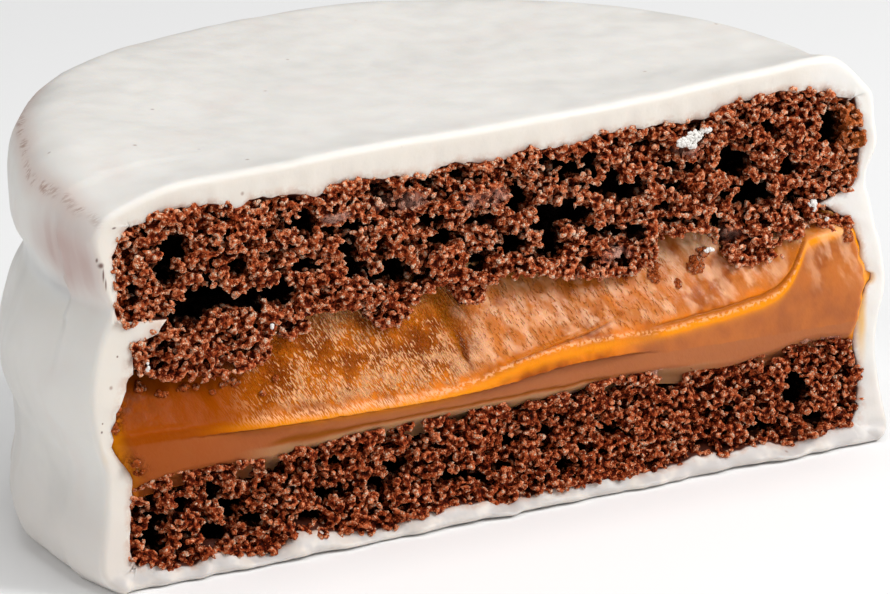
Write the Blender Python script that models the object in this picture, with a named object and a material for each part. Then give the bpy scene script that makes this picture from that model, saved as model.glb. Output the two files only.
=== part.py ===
"""Half of a white-glazed chocolate alfajor, cut open, resting on its base.

Two chocolate biscuits hold a thick layer of dulce de leche, and white icing coats the whole
round. The knife went past the middle, so a little more than half is left, and its flat cut
face looks along -Y. Z is up, and the origin lies under the middle of the half's box.

Sizes are in millimetres. Vertices are placed in metres.
"""

import math

import bmesh
import bpy

MM = 0.001

# The whole round, before the cut.
RADIUS = 33.0
HEIGHT = 28.95
CUT_DEPTH = 5.3
LIP = 0.8
AXIS_Y = -(RADIUS - CUT_DEPTH - LIP) / 2.0
TOP_RISE = 0.04
TOP_RISE_FROM = 14.0
TOP_RISE_FULL = 25.0

# Room left between two pieces that touch.
GAP = 0.3
MITRE_LIMIT = 0.35

# Outer side of the icing: height, radius. The two waists are where icing sank between layers.
SIDE = (
    (0.0, RADIUS - 1.5),
    (1.1, RADIUS - 0.4),
    (3.0, RADIUS - 0.1),
    (8.2, RADIUS - 0.75),
    (13.8, RADIUS),
    (17.4, RADIUS - 0.55),
    (20.4, RADIUS - 1.6),
    (22.4, RADIUS - 1.1),
    (24.6, RADIUS - 0.85),
)
SHOULDER_FROM = 24.6
SHOULDER_WIDTH = 5.0
SHOULDER_STEPS = 7
SIDE_STEPS = 17

# How uneven the round is.
LOBE_DEPTH = 0.22
WAIST_DEPTH = 0.3
TOP_WAVE = 0.12
FOOT_WAVE = 0.22

# Layers inside: height, radius, from the foot of the lower biscuit to the top of the upper one.
LOWER_BISCUIT = (
    (1.1, 27.0),
    (1.6, 30.0),
    (4.4, 30.55),
    (7.4, 30.3),
    (8.1, 29.2),
)
FILLING = (
    (8.5, 29.9),
    (10.0, 31.2),
    (11.4, 31.7),
    (13.4, 31.2),
    (15.4, 30.4),
)
UPPER_BISCUIT = (
    (16.2, 29.0),
    (17.4, 29.9),
    (18.7, 29.4),
    (19.5, 27.0),
    (20.4, 30.0),
    (22.0, 31.0),
    (24.6, 31.0),
    (26.2, 30.3),
    (26.7, 28.0),
)
CAP_RINGS = (0.9, 0.78, 0.66, 0.53, 0.4, 0.26, 0.18)

# The seam between the filling and the upper biscuit, along the cut: place across, height added.
SEAM = (
    (-31.0, -1.1),
    (-24.0, -1.0),
    (-18.5, 0.7),
    (-8.0, 0.2),
    (4.0, 0.8),
    (10.0, 0.1),
    (15.5, 1.8),
    (20.0, -0.5),
    (25.0, -0.6),
    (31.0, 0.3),
)
SEAM_REACH = 16.0

# The pulled face of the filling: height, place across the cut plane (outwards is negative).
BULGE = (
    (7.0, 0.5),
    (9.4, 0.1),
    (10.4, -LIP),
    (11.6, 0.1 - LIP),
    (14.0, 0.35),
    (17.0, 1.5),
    (20.0, 1.9),
)
RIDGE_SHIFT = 1.9
RIDGE_FROM = -4.0
RIDGE_FULL = 14.0
FACE_COLUMNS = 34
FACE_ROWS = 17

# Cracks that run in from the cut face under the upper biscuit: left end, right end, height,
# opening, depth.
CRACKS = (
    (-26.6, -18.6, 19.9, 1.7, 9.0),
    (18.2, 26.0, 20.0, 1.3, 7.0),
)
CRACK_COLUMNS = 8

SEGMENTS_ICING = 92
SEGMENTS_LAYER = 64

ICING_COLOUR = (0.76, 0.73, 0.69, 1.0)
BISCUIT_COLOUR = (0.13, 0.045, 0.022, 1.0)
FILLING_COLOUR = (0.46, 0.17, 0.03, 1.0)


def clear_objects():
    """Take away every object that the file opened with."""
    for thing in list(bpy.data.objects):
        bpy.data.objects.remove(thing, do_unlink=True)


def clamp(value, low=0.0, high=1.0):
    """Keep a value between two limits."""
    return max(low, min(high, value))


def ease(value):
    """Go from 0 to 1 with level ends."""
    value = clamp(value)
    return value * value * (3.0 - 2.0 * value)


def curve_through(points, place):
    """Read a smooth curve that passes through each (place, value) point."""
    if place <= points[0][0]:
        return points[0][1]
    if place >= points[-1][0]:
        return points[-1][1]
    last = len(points) - 1
    index = max(i for i in range(last) if points[i][0] <= place)
    before, start = points[max(index - 1, 0)], points[index]
    end, after = points[index + 1], points[min(index + 2, last)]
    span = end[0] - start[0]
    slope_start = (end[1] - before[1]) / (end[0] - before[0])
    slope_end = (after[1] - start[1]) / (after[0] - start[0])
    t = (place - start[0]) / span
    return (
        (2 * t**3 - 3 * t**2 + 1) * start[1]
        + (t**3 - 2 * t**2 + t) * span * slope_start
        + (3 * t**2 - 2 * t**3) * end[1]
        + (t**3 - t**2) * span * slope_end
    )


def material(name, colour, roughness):
    """Make a plain Principled material."""
    made = bpy.data.materials.new(name)
    made.use_nodes = True
    shader = made.node_tree.nodes["Principled BSDF"]
    shader.inputs["Base Color"].default_value = colour
    shader.inputs["Roughness"].default_value = roughness
    shader.inputs["Metallic"].default_value = 0.0
    made.diffuse_color = colour
    return made


def object_from(name, mesh_in_mm, finish):
    """Turn a bmesh in millimetres about the round's own axis into a named object in metres."""
    bmesh.ops.recalc_face_normals(mesh_in_mm, faces=mesh_in_mm.faces)
    bmesh.ops.scale(mesh_in_mm, vec=(MM, MM, MM), verts=mesh_in_mm.verts)
    mesh = bpy.data.meshes.new(name)
    mesh_in_mm.to_mesh(mesh)
    mesh_in_mm.free()
    mesh.shade_smooth()
    made = bpy.data.objects.new(name, mesh)
    bpy.context.scene.collection.objects.link(made)
    made.location = (0.0, AXIS_Y * MM, 0.0)
    if finish:
        mesh.materials.append(finish)
    return made


def top_rise(y, z):
    """Height that the upper half gains towards the back."""
    share = ease((z - TOP_RISE_FROM) / (TOP_RISE_FULL - TOP_RISE_FROM))
    return TOP_RISE * y * share


def turned(profile, segments):
    """Spin a (height, radius) profile that runs from axis to axis into a closed solid."""
    shape = bmesh.new()
    ring = [shape.verts.new((radius, 0.0, z)) for z, radius in profile]
    edges = [shape.edges.new(pair) for pair in zip(ring, ring[1:])]
    bmesh.ops.spin(
        shape,
        geom=ring + edges,
        cent=(0.0, 0.0, 0.0),
        axis=(0.0, 0.0, 1.0),
        dvec=(0.0, 0.0, 0.0),
        angle=2.0 * math.pi,
        steps=segments,
        use_merge=True,
        use_duplicate=False,
    )
    bmesh.ops.remove_doubles(shape, verts=shape.verts, dist=0.001)
    return shape


def capped(sides):
    """Close a (height, radius) side with rings that step in to the axis at foot and top."""
    foot, top = sides[0], sides[-1]
    below = [(foot[0], 0.0)] + [(foot[0], foot[1] * share) for share in reversed(CAP_RINGS)]
    above = [(top[0], top[1] * share) for share in CAP_RINGS] + [(top[0], 0.0)]
    return below + list(sides) + above


def icing_profile():
    """Profile of the coated round: foot, two waists, soft shoulder and flat top."""
    step = SHOULDER_FROM / SIDE_STEPS
    side = [(i * step, curve_through(SIDE, i * step)) for i in range(SIDE_STEPS + 1)]
    shoulder_height = HEIGHT - SHOULDER_FROM
    edge = side[-1][1]
    for i in range(1, SHOULDER_STEPS + 1):
        turn = 0.5 * math.pi * i / SHOULDER_STEPS
        z = SHOULDER_FROM + shoulder_height * math.sin(turn)
        side.append((z, edge - SHOULDER_WIDTH * (1.0 - math.cos(turn))))
    return capped(side)


def uneven_icing(shape):
    """Push the turned icing out of round, as a coat that ran and set."""
    for vert in shape.verts:
        x, y, z = vert.co
        radius = math.hypot(x, y)
        angle = math.atan2(y, x)
        if radius > 1.0:
            lobes = math.sin(3.0 * angle + 0.6) + 0.6 * math.sin(5.0 * angle + 2.1 + 0.09 * z)
            waist = math.exp(-(((z - 20.4) / 1.6) ** 2)) * math.sin(2.0 * angle + 0.4)
            side = ease((radius - 20.0) / 10.0)
            push = (LOBE_DEPTH * 0.6 * lobes - WAIST_DEPTH * 0.5 * waist) * side
            vert.co.x += push * x / radius
            vert.co.y += push * y / radius
        wave = math.sin(0.17 * x + 0.5) * math.cos(0.21 * y - 0.4)
        vert.co.z += TOP_WAVE * wave * ease((z - 26.0) / 2.5) + top_rise(y, z)
        if z < 0.2 and radius > RADIUS - 3.0:
            vert.co.z += FOOT_WAVE * (0.5 + 0.5 * math.sin(11.0 * angle))


def seam_lift(x, y):
    """Unevenness of the seam above the filling, fading with depth behind the cut face."""
    depth = (y + CUT_DEPTH) / SEAM_REACH
    return curve_through(SEAM, x) * (1.0 - ease(depth))


def lift_seam(shape, low, high):
    """Move what lies between two heights with the seam."""
    for vert in shape.verts:
        x, y, z = vert.co
        if low <= z <= high:
            vert.co.z += seam_lift(x, y)


def raise_top(shape):
    """Give a layer the rise of the round's top."""
    for vert in shape.verts:
        vert.co.z += top_rise(vert.co.y, vert.co.z)


def hide(cutter):
    """Keep a cutting solid out of sight and out of renders."""
    cutter.hide_render = True
    cutter.display_type = "WIRE"
    cutter.hide_set(True)


def subtract(target, cutter):
    """Cut one solid out of another with an exact Boolean that stays live."""
    cut = target.modifiers.new("cut_" + cutter.name, "BOOLEAN")
    cut.operation = "DIFFERENCE"
    cut.solver = "EXACT"
    cut.object = cutter


def block(low, high):
    """Make a box between two corners."""
    shape = bmesh.new()
    bmesh.ops.create_cube(shape, size=1.0)
    size = [b - a for a, b in zip(low, high)]
    middle = [(a + b) / 2.0 for a, b in zip(low, high)]
    bmesh.ops.scale(shape, vec=size, verts=shape.verts)
    bmesh.ops.translate(shape, vec=middle, verts=shape.verts)
    return shape


def knife():
    """The room in front of the cut plane, which takes away the eaten side."""
    reach = RADIUS + 10.0
    shape = block((-reach, -reach, -5.0), (reach, -CUT_DEPTH, HEIGHT + 10.0))
    cutter = object_from("knife_cutter", shape, None)
    hide(cutter)
    return cutter


def bulge(x, z):
    """Place of the filling's pulled face before or behind the cut plane."""
    ridge = RIDGE_SHIFT * ease((x - RIDGE_FROM) / (RIDGE_FULL - RIDGE_FROM))
    return curve_through(BULGE, z - ridge * ease((z - 9.4) / 2.0))


def filling_knife():
    """The room in front of the filling's pulled face, with its lip and slope."""
    reach = RADIUS + 4.0
    low, high = 5.0, 21.0
    shape = bmesh.new()
    bmesh.ops.create_grid(shape, x_segments=FACE_COLUMNS, y_segments=FACE_ROWS, size=1.0)
    for vert in shape.verts:
        x = vert.co.x * reach
        z = low + (vert.co.y + 1.0) * 0.5 * (high - low)
        vert.co = (x, -CUT_DEPTH + bulge(x, z), z)
    front = bmesh.ops.extrude_face_region(shape, geom=list(shape.faces))
    for item in front["geom"]:
        if isinstance(item, bmesh.types.BMVert):
            item.co.y = -RADIUS - 8.0
    cutter = object_from("filling_cutter", shape, None)
    hide(cutter)
    return cutter


def crack(index, left, right, height, opening, depth):
    """A lens-shaped crack that narrows to a line at its ends and at its back."""
    shape = bmesh.new()
    bmesh.ops.create_grid(shape, x_segments=CRACK_COLUMNS, y_segments=4, size=1.0)
    for vert in shape.verts:
        along = (vert.co.x + 1.0) * 0.5
        inwards = (vert.co.y + 1.0) * 0.5
        x = left + along * (right - left)
        y = -CUT_DEPTH - 1.0 + inwards * (depth + 1.0)
        sag = 0.25 * math.sin(5.0 * along + 1.3 * index)
        vert.co = (x, y, height + sag)
    lid = bmesh.ops.extrude_face_region(shape, geom=list(shape.faces))
    lifted = {item for item in lid["geom"] if isinstance(item, bmesh.types.BMVert)}
    for vert in shape.verts:
        along = (vert.co.x - left) / (right - left)
        inwards = (vert.co.y + CUT_DEPTH) / depth
        swell = 0.25 + 0.75 * math.sin(math.pi * clamp(along))
        half = 0.5 * opening * swell * (1.0 - 0.7 * ease(inwards))
        vert.co.z += half if vert in lifted else -half
    cutter = object_from(f"crack_cutter_{index}", shape, None)
    hide(cutter)
    return cutter


def outward(start, end):
    """Unit direction that points out of a (height, radius) side between two of its points."""
    rise, run = end[0] - start[0], end[1] - start[1]
    length = math.hypot(rise, run)
    return -run / length, rise / length


def swollen(profile, amount):
    """Grow a (height, radius) side by the same distance all along it."""
    grown = []
    last = len(profile) - 1
    for index, (z, radius) in enumerate(profile):
        below = outward(*profile[max(index, 1) - 1 : max(index, 1) + 1])
        above = outward(*profile[min(index, last - 1) : min(index, last - 1) + 2])
        mean = (below[0] + above[0], below[1] + above[1])
        length = math.hypot(*mean)
        share = (mean[0] * below[0] + mean[1] * below[1]) / length
        reach = amount / max(share, MITRE_LIMIT) / length
        grown.append((z + mean[0] * reach, radius + mean[1] * reach))
    return grown


def inner_side():
    """Side of all the layers together, one gap larger, as the icing fits round them."""
    layers = swollen(LOWER_BISCUIT + FILLING + UPPER_BISCUIT, GAP)
    layers[0] = (LOWER_BISCUIT[0][0] - GAP, layers[0][1])
    layers[-1] = (UPPER_BISCUIT[-1][0] + GAP, layers[-1][1])
    return layers


def build_lower_biscuit(blade, finish):
    """The biscuit that the filling lies on."""
    shape = turned(capped(LOWER_BISCUIT), SEGMENTS_LAYER)
    biscuit = object_from("lower_biscuit", shape, finish)
    subtract(biscuit, blade)
    return biscuit


def build_filling(finish):
    """The dulce de leche, thicker than either biscuit's edge and pulled into a lip."""
    shape = turned(capped(FILLING), SEGMENTS_LAYER)
    lift_seam(shape, FILLING[-1][0] - 0.1, FILLING[-1][0] + 0.1)
    filling = object_from("dulce_de_leche", shape, finish)
    subtract(filling, filling_knife())
    return filling


def build_upper_biscuit(blade, finish):
    """The biscuit above the filling, with its foot stuck to it and cracks above that foot."""
    shape = turned(capped(UPPER_BISCUIT), SEGMENTS_LAYER)
    lift_seam(shape, UPPER_BISCUIT[0][0] - 0.1, UPPER_BISCUIT[0][0] + 0.1)
    raise_top(shape)
    biscuit = object_from("upper_biscuit", shape, finish)
    subtract(biscuit, blade)
    for index, sizes in enumerate(CRACKS):
        subtract(biscuit, crack(index, *sizes))
    return biscuit


def build_icing(blade, finish):
    """The white coat: the uneven round less the room that its layers take up."""
    shape = turned(icing_profile(), SEGMENTS_ICING)
    uneven_icing(shape)
    icing = object_from("white_icing", shape, finish)
    room = turned(capped(inner_side()), SEGMENTS_LAYER)
    raise_top(room)
    cutter = object_from("layers_cutter", room, None)
    hide(cutter)
    subtract(icing, cutter)
    subtract(icing, blade)
    return icing


def main():
    """Build the four pieces."""
    clear_objects()
    icing_finish = material("white_icing", ICING_COLOUR, 0.42)
    biscuit_finish = material("chocolate_crumb", BISCUIT_COLOUR, 0.85)
    filling_finish = material("dulce_de_leche", FILLING_COLOUR, 0.25)
    blade = knife()
    build_icing(blade, icing_finish)
    build_upper_biscuit(blade, biscuit_finish)
    build_filling(filling_finish)
    build_lower_biscuit(blade, biscuit_finish)


main()
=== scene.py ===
"""Visual model of half a white-iced chocolate alfajor, cut open and resting on its base.

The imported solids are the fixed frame. Every piece is shaped in millimetres about the upright
axis of the whole round, with the cut face looking along -Y, and is then set down in that frame
in metres.
"""

import logging
import math
import random
from dataclasses import dataclass, field
from enum import Enum
from functools import reduce
from typing import Callable, Sequence

import bmesh
import bpy
from mathutils import Matrix, Vector, noise


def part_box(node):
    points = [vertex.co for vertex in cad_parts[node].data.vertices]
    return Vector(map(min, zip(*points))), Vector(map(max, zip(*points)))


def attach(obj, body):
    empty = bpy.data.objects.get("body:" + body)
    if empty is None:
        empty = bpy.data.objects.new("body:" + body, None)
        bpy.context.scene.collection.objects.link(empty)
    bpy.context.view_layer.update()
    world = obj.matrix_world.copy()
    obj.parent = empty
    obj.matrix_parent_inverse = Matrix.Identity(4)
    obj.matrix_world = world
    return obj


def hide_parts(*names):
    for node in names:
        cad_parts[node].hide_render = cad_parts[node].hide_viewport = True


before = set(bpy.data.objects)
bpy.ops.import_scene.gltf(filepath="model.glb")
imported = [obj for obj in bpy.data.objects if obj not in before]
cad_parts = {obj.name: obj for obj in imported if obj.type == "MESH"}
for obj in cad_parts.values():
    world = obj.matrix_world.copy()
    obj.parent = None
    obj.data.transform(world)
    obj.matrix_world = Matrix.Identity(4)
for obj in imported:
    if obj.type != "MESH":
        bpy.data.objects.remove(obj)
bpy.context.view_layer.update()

LOG = logging.getLogger("alfajor")
MM = 0.001

Point = tuple[float, float]
Colour = tuple[float, float, float]


class Layer(Enum):
    """The two biscuits, by where they lie."""

    UPPER = "upper_biscuit"
    LOWER = "lower_biscuit"


# --------------------------------------------------------------------------- small mathematics


def clamp(value: float, low: float = 0.0, high: float = 1.0) -> float:
    """Keep a value between two limits."""
    return max(low, min(high, value))


def ease(value: float) -> float:
    """Go from 0 to 1 with level ends."""
    value = clamp(value)
    return value * value * (3.0 - 2.0 * value)


def past(value: float, start: float, over: float) -> float:
    """Go from 0 at the start to 1 a stretch further on."""
    return ease((value - start) / over)


def short_of(value: float, start: float, over: float) -> float:
    """Go from 1 at the start to 0 a stretch further on."""
    return 1.0 - past(value, start, over)


def bell(value: float, middle: float, width: float) -> float:
    """Rise to 1 at the middle and fall away on both sides."""
    return math.exp(-(((value - middle) / width) ** 2))


def curve_through(points: Sequence[Point], place: float) -> float:
    """Read a smooth curve that passes through each point.

    Args:
        points: (place, value) pairs in rising order of place.
        place: Where the curve is read.

    Returns:
        The value there, held level past both ends.
    """
    if place <= points[0][0]:
        return points[0][1]
    if place >= points[-1][0]:
        return points[-1][1]
    last = len(points) - 1
    index = max(i for i in range(last) if points[i][0] <= place)
    before, start = points[max(index - 1, 0)], points[index]
    end, after = points[index + 1], points[min(index + 2, last)]
    span = end[0] - start[0]
    slope_start = (end[1] - before[1]) / (end[0] - before[0])
    slope_end = (after[1] - start[1]) / (after[0] - start[0])
    t = (place - start[0]) / span
    return (
        (2 * t**3 - 3 * t**2 + 1) * start[1]
        + (t**3 - 2 * t**2 + t) * span * slope_start
        + (3 * t**2 - 2 * t**3) * end[1]
        + (t**3 - t**2) * span * slope_end
    )


# --------------------------------------------------------------------------- node laying


class Term:
    """A number, vector or colour that nodes work out, so that a pattern reads as arithmetic."""

    def __init__(self, sheet: "Sheet", socket: bpy.types.NodeSocket) -> None:
        """Take a node's output."""
        self.sheet = sheet
        self.socket = socket

    def __add__(self, other) -> "Term":
        """Add."""
        return self.sheet.work("ADD", self, other)

    def __sub__(self, other) -> "Term":
        """Take the other away."""
        return self.sheet.work("SUBTRACT", self, other)

    def __rsub__(self, other) -> "Term":
        """Take this away from a number."""
        return self.sheet.work("SUBTRACT", other, self)

    def __mul__(self, other) -> "Term":
        """Multiply."""
        return self.sheet.work("MULTIPLY", self, other)

    def __truediv__(self, other) -> "Term":
        """Divide."""
        return self.sheet.work("DIVIDE", self, other)

    def __abs__(self) -> "Term":
        """Drop the sign."""
        return self.sheet.work("ABSOLUTE", self)

    def __gt__(self, other) -> "Term":
        """Be 1 where greater, and 0 elsewhere."""
        return self.sheet.work("GREATER_THAN", self, other)

    def __lt__(self, other) -> "Term":
        """Be 1 where less, and 0 elsewhere."""
        return self.sheet.work("LESS_THAN", self, other)

    def length(self) -> "Term":
        """Measure a vector."""
        return self.sheet.work("LENGTH", self)

    def dot(self, other) -> "Term":
        """Multiply two vectors into a number."""
        return self.sheet.work("DOT_PRODUCT", self, other)


class Sheet:
    """Lays nodes in a tree."""

    def __init__(self, tree: bpy.types.NodeTree) -> None:
        """Start on a tree."""
        self.tree = tree

    def add(self, kind: str, inputs: dict | None = None, **settings) -> bpy.types.Node:
        """Add a node.

        Args:
            kind: The node's class name.
            inputs: Values or terms for its inputs, by name or place.
            settings: Values for its properties.

        Returns:
            The node.
        """
        node = self.tree.nodes.new(kind)
        for name, value in settings.items():
            setattr(node, name, value)
        for name, value in (inputs or {}).items():
            self.feed(node.inputs[name], value)
        return node

    def out(self, kind: str, inputs: dict | None = None, output: int | str = 0,
            **settings) -> Term:
        """Add a node and take one of its outputs."""
        return Term(self, self.add(kind, inputs, **settings).outputs[output])

    def feed(self, socket: bpy.types.NodeSocket, value) -> None:
        """Link a socket to a term, or set its value.

        Args:
            socket: The input.
            value: A term, or a plain value that suits the input.
        """
        if isinstance(value, Term):
            self.tree.links.new(value.socket, socket)
        elif socket.type == "RGBA" and len(value) == 3:
            socket.default_value = (*value, 1.0)
        else:
            socket.default_value = value

    def work(self, operation: str, *terms) -> Term:
        """Add a Math node, or a Vector Math node where the first term isn't a number.

        Args:
            operation: What the node does.
            terms: Its inputs in order.

        Returns:
            Its result.
        """
        inputs = dict(enumerate(terms))
        first = terms[0]
        if not isinstance(first, Term) or first.socket.type not in ("VECTOR", "RGBA"):
            return self.out("ShaderNodeMath", inputs, operation=operation)
        if operation == "MULTIPLY" and isinstance(terms[1], float):
            operation, inputs = "SCALE", {0: first, "Scale": terms[1]}
        output = "Value" if operation in ("LENGTH", "DOT_PRODUCT") else "Vector"
        return self.out("ShaderNodeVectorMath", inputs, output, operation=operation)

    def least(self, *terms) -> Term:
        """Take the least of the terms."""
        return reduce(lambda one, other: self.work("MINIMUM", one, other), terms)

    def most(self, *terms) -> Term:
        """Take the greatest of the terms."""
        return reduce(lambda one, other: self.work("MAXIMUM", one, other), terms)

    def parts(self, vector) -> tuple:
        """Split a vector into its three numbers."""
        node = self.add("ShaderNodeSeparateXYZ", {0: vector})
        return tuple(Term(self, socket) for socket in node.outputs[:3])

    def joined(self, x, y, z) -> Term:
        """Make a vector of three numbers."""
        return self.out("ShaderNodeCombineXYZ", {0: x, 1: y, 2: z})

    def cloud(self, where, scale: float, detail: float = 2.0, roughness: float = 0.5,
              distortion: float = 0.0, colour: bool = False) -> Term:
        """Add a Noise texture.

        Args:
            where: The place that it is read at.
            scale: Its waves for each unit of length.
            detail: Its octaves.
            roughness: How strong the finer octaves are.
            distortion: How much it is stirred.
            colour: Whether its three-part colour is wanted, and not its one value.

        Returns:
            The texture's value or colour.
        """
        inputs = {"Vector": where, "Scale": scale, "Detail": detail, "Roughness": roughness,
                  "Distortion": distortion}
        return self.out("ShaderNodeTexNoise", inputs, "Color" if colour else "Fac")

    def cells(self, where, scale: float = 1.0) -> tuple:
        """Add a Voronoi texture: the nearest centre's distance, colour and place."""
        node = self.add("ShaderNodeTexVoronoi", {"Vector": where, "Scale": scale})
        return tuple(Term(self, node.outputs[name]) for name in ("Distance", "Color", "Position"))

    def remap(self, value, low, high, to_low=0.0, to_high=1.0,
              kind: str = "SMOOTHSTEP") -> Term:
        """Carry a value from one range to another, clamped at both ends."""
        inputs = dict(enumerate((value, low, high, to_low, to_high)))
        return self.out("ShaderNodeMapRange", inputs, interpolation_type=kind)

    def along(self, value, points: Sequence[Point], low: float, high: float,
              bottom: float, top: float) -> Term:
        """Read a curve drawn through points.

        Args:
            value: Where it is read.
            points: (place, height) pairs in rising order.
            low: The least place.
            high: The greatest place.
            bottom: The least height.
            top: The greatest height.

        Returns:
            The height of the curve at the value.
        """
        place = self.remap(value, low, high, kind="LINEAR")
        node = self.add("ShaderNodeFloatCurve", {"Value": place})
        curve = node.mapping.curves[0]
        shares = [((x - low) / (high - low), (y - bottom) / (top - bottom)) for x, y in points]
        curve.points[0].location = shares[0]
        curve.points[-1].location = shares[-1]
        for share in shares[1:-1]:
            curve.points.new(*share)
        node.mapping.update()
        return Term(self, node.outputs[0]) * (top - bottom) + bottom

    def mixed(self, factor, first, second, kind: str = "RGBA") -> Term:
        """Mix two colours, or two numbers where the kind is FLOAT.

        Args:
            factor: How much of the second there is.
            first: The first colour or number.
            second: The second colour or number.
            kind: RGBA or FLOAT.

        Returns:
            The mix.
        """
        one, other, output = {"FLOAT": (2, 3, 0), "RGBA": (6, 7, 2)}[kind]
        inputs = {0: factor, one: first, other: second}
        return self.out("ShaderNodeMix", inputs, output, data_type=kind)

    def tinted(self, colour, *coats: tuple) -> Term:
        """Lay coats over a colour.

        Args:
            colour: The colour below.
            coats: The strength and colour of each coat, from the lowest up.

        Returns:
            The coated colour.
        """
        for strength, tint in coats:
            colour = self.mixed(strength, colour, tint)
        return colour

    def ramp(self, value, stops: Sequence[tuple[float, Colour]]) -> Term:
        """Turn a value into a colour along a row of stops.

        Args:
            value: What the colour follows.
            stops: Places from 0 to 1 with their colours, in rising order.

        Returns:
            The colour.
        """
        node = self.add("ShaderNodeValToRGB", {0: value})
        elements = node.color_ramp.elements
        elements[0].position, elements[0].color = stops[0][0], (*stops[0][1], 1.0)
        elements[1].position, elements[1].color = stops[-1][0], (*stops[-1][1], 1.0)
        for place, colour in stops[1:-1]:
            elements.new(place).color = (*colour, 1.0)
        return Term(self, node.outputs[0])


# --------------------------------------------------------------------------- the round


@dataclass(frozen=True)
class Round:
    """The iced round that the half was cut from, in millimetres about its own axis."""

    axis_y: float
    cut_depth: float = 5.3
    height: float = 28.95
    top_rise: float = 0.04
    rise_from: float = 14.0
    rise_over: float = 11.0

    @classmethod
    def from_frame(cls) -> "Round":
        """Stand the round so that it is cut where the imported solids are.

        Returns:
            The round.
        """
        cut_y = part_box(Layer.LOWER.value)[0].y / MM
        axis_y = cut_y + cls.cut_depth
        return cls(axis_y=axis_y, cut_depth=axis_y - cut_y)

    @property
    def cut(self) -> float:
        """Place of the cut plane along Y."""
        return -self.cut_depth

    def rise(self, y: float, z: float) -> float:
        """Height that the upper half gains towards the back."""
        return self.top_rise * y * past(z, self.rise_from, self.rise_over)


ROUND = Round.from_frame()


def mesh_of(shape: bmesh.types.BMesh, name: str) -> bpy.types.Mesh:
    """Turn a working shape into a mesh.

    Args:
        shape: The working shape, which is freed.
        name: The mesh's name.

    Returns:
        The mesh.
    """
    mesh = bpy.data.meshes.new(name)
    shape.to_mesh(mesh)
    shape.free()
    return mesh


def stood(name: str, data) -> bpy.types.Object:
    """Put a mesh, lamp or camera into the scene as an object.

    Args:
        name: The object's name.
        data: The mesh, lamp or camera.

    Returns:
        The object.
    """
    made = bpy.data.objects.new(name, data)
    bpy.context.scene.collection.objects.link(made)
    return made


def piece_from(name: str, mesh: bpy.types.Mesh, finish: bpy.types.Material,
               node: str | None = None, in_frame: bool = False) -> bpy.types.Object:
    """Set a mesh down in the frame as a piece at the origin.

    Args:
        name: The piece's name.
        mesh: Its mesh, in millimetres about the round's axis.
        finish: Its material.
        node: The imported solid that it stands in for, if any.
        in_frame: Whether the mesh is in the frame's metres already, and stays faceted.

    Returns:
        The piece.
    """
    if not in_frame:
        mesh.transform(Matrix.Translation((0.0, ROUND.axis_y * MM, 0.0)) @ Matrix.Scale(MM, 4))
        mesh.shade_smooth()
    mesh.name = name
    mesh.materials.clear()
    mesh.materials.append(finish)
    made = stood(name, mesh)
    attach(made, "root")
    if node:
        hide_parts(node)
    LOG.info("%s: %d faces", name, len(mesh.polygons))
    return made


# --------------------------------------------------------------------------- studio


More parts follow.
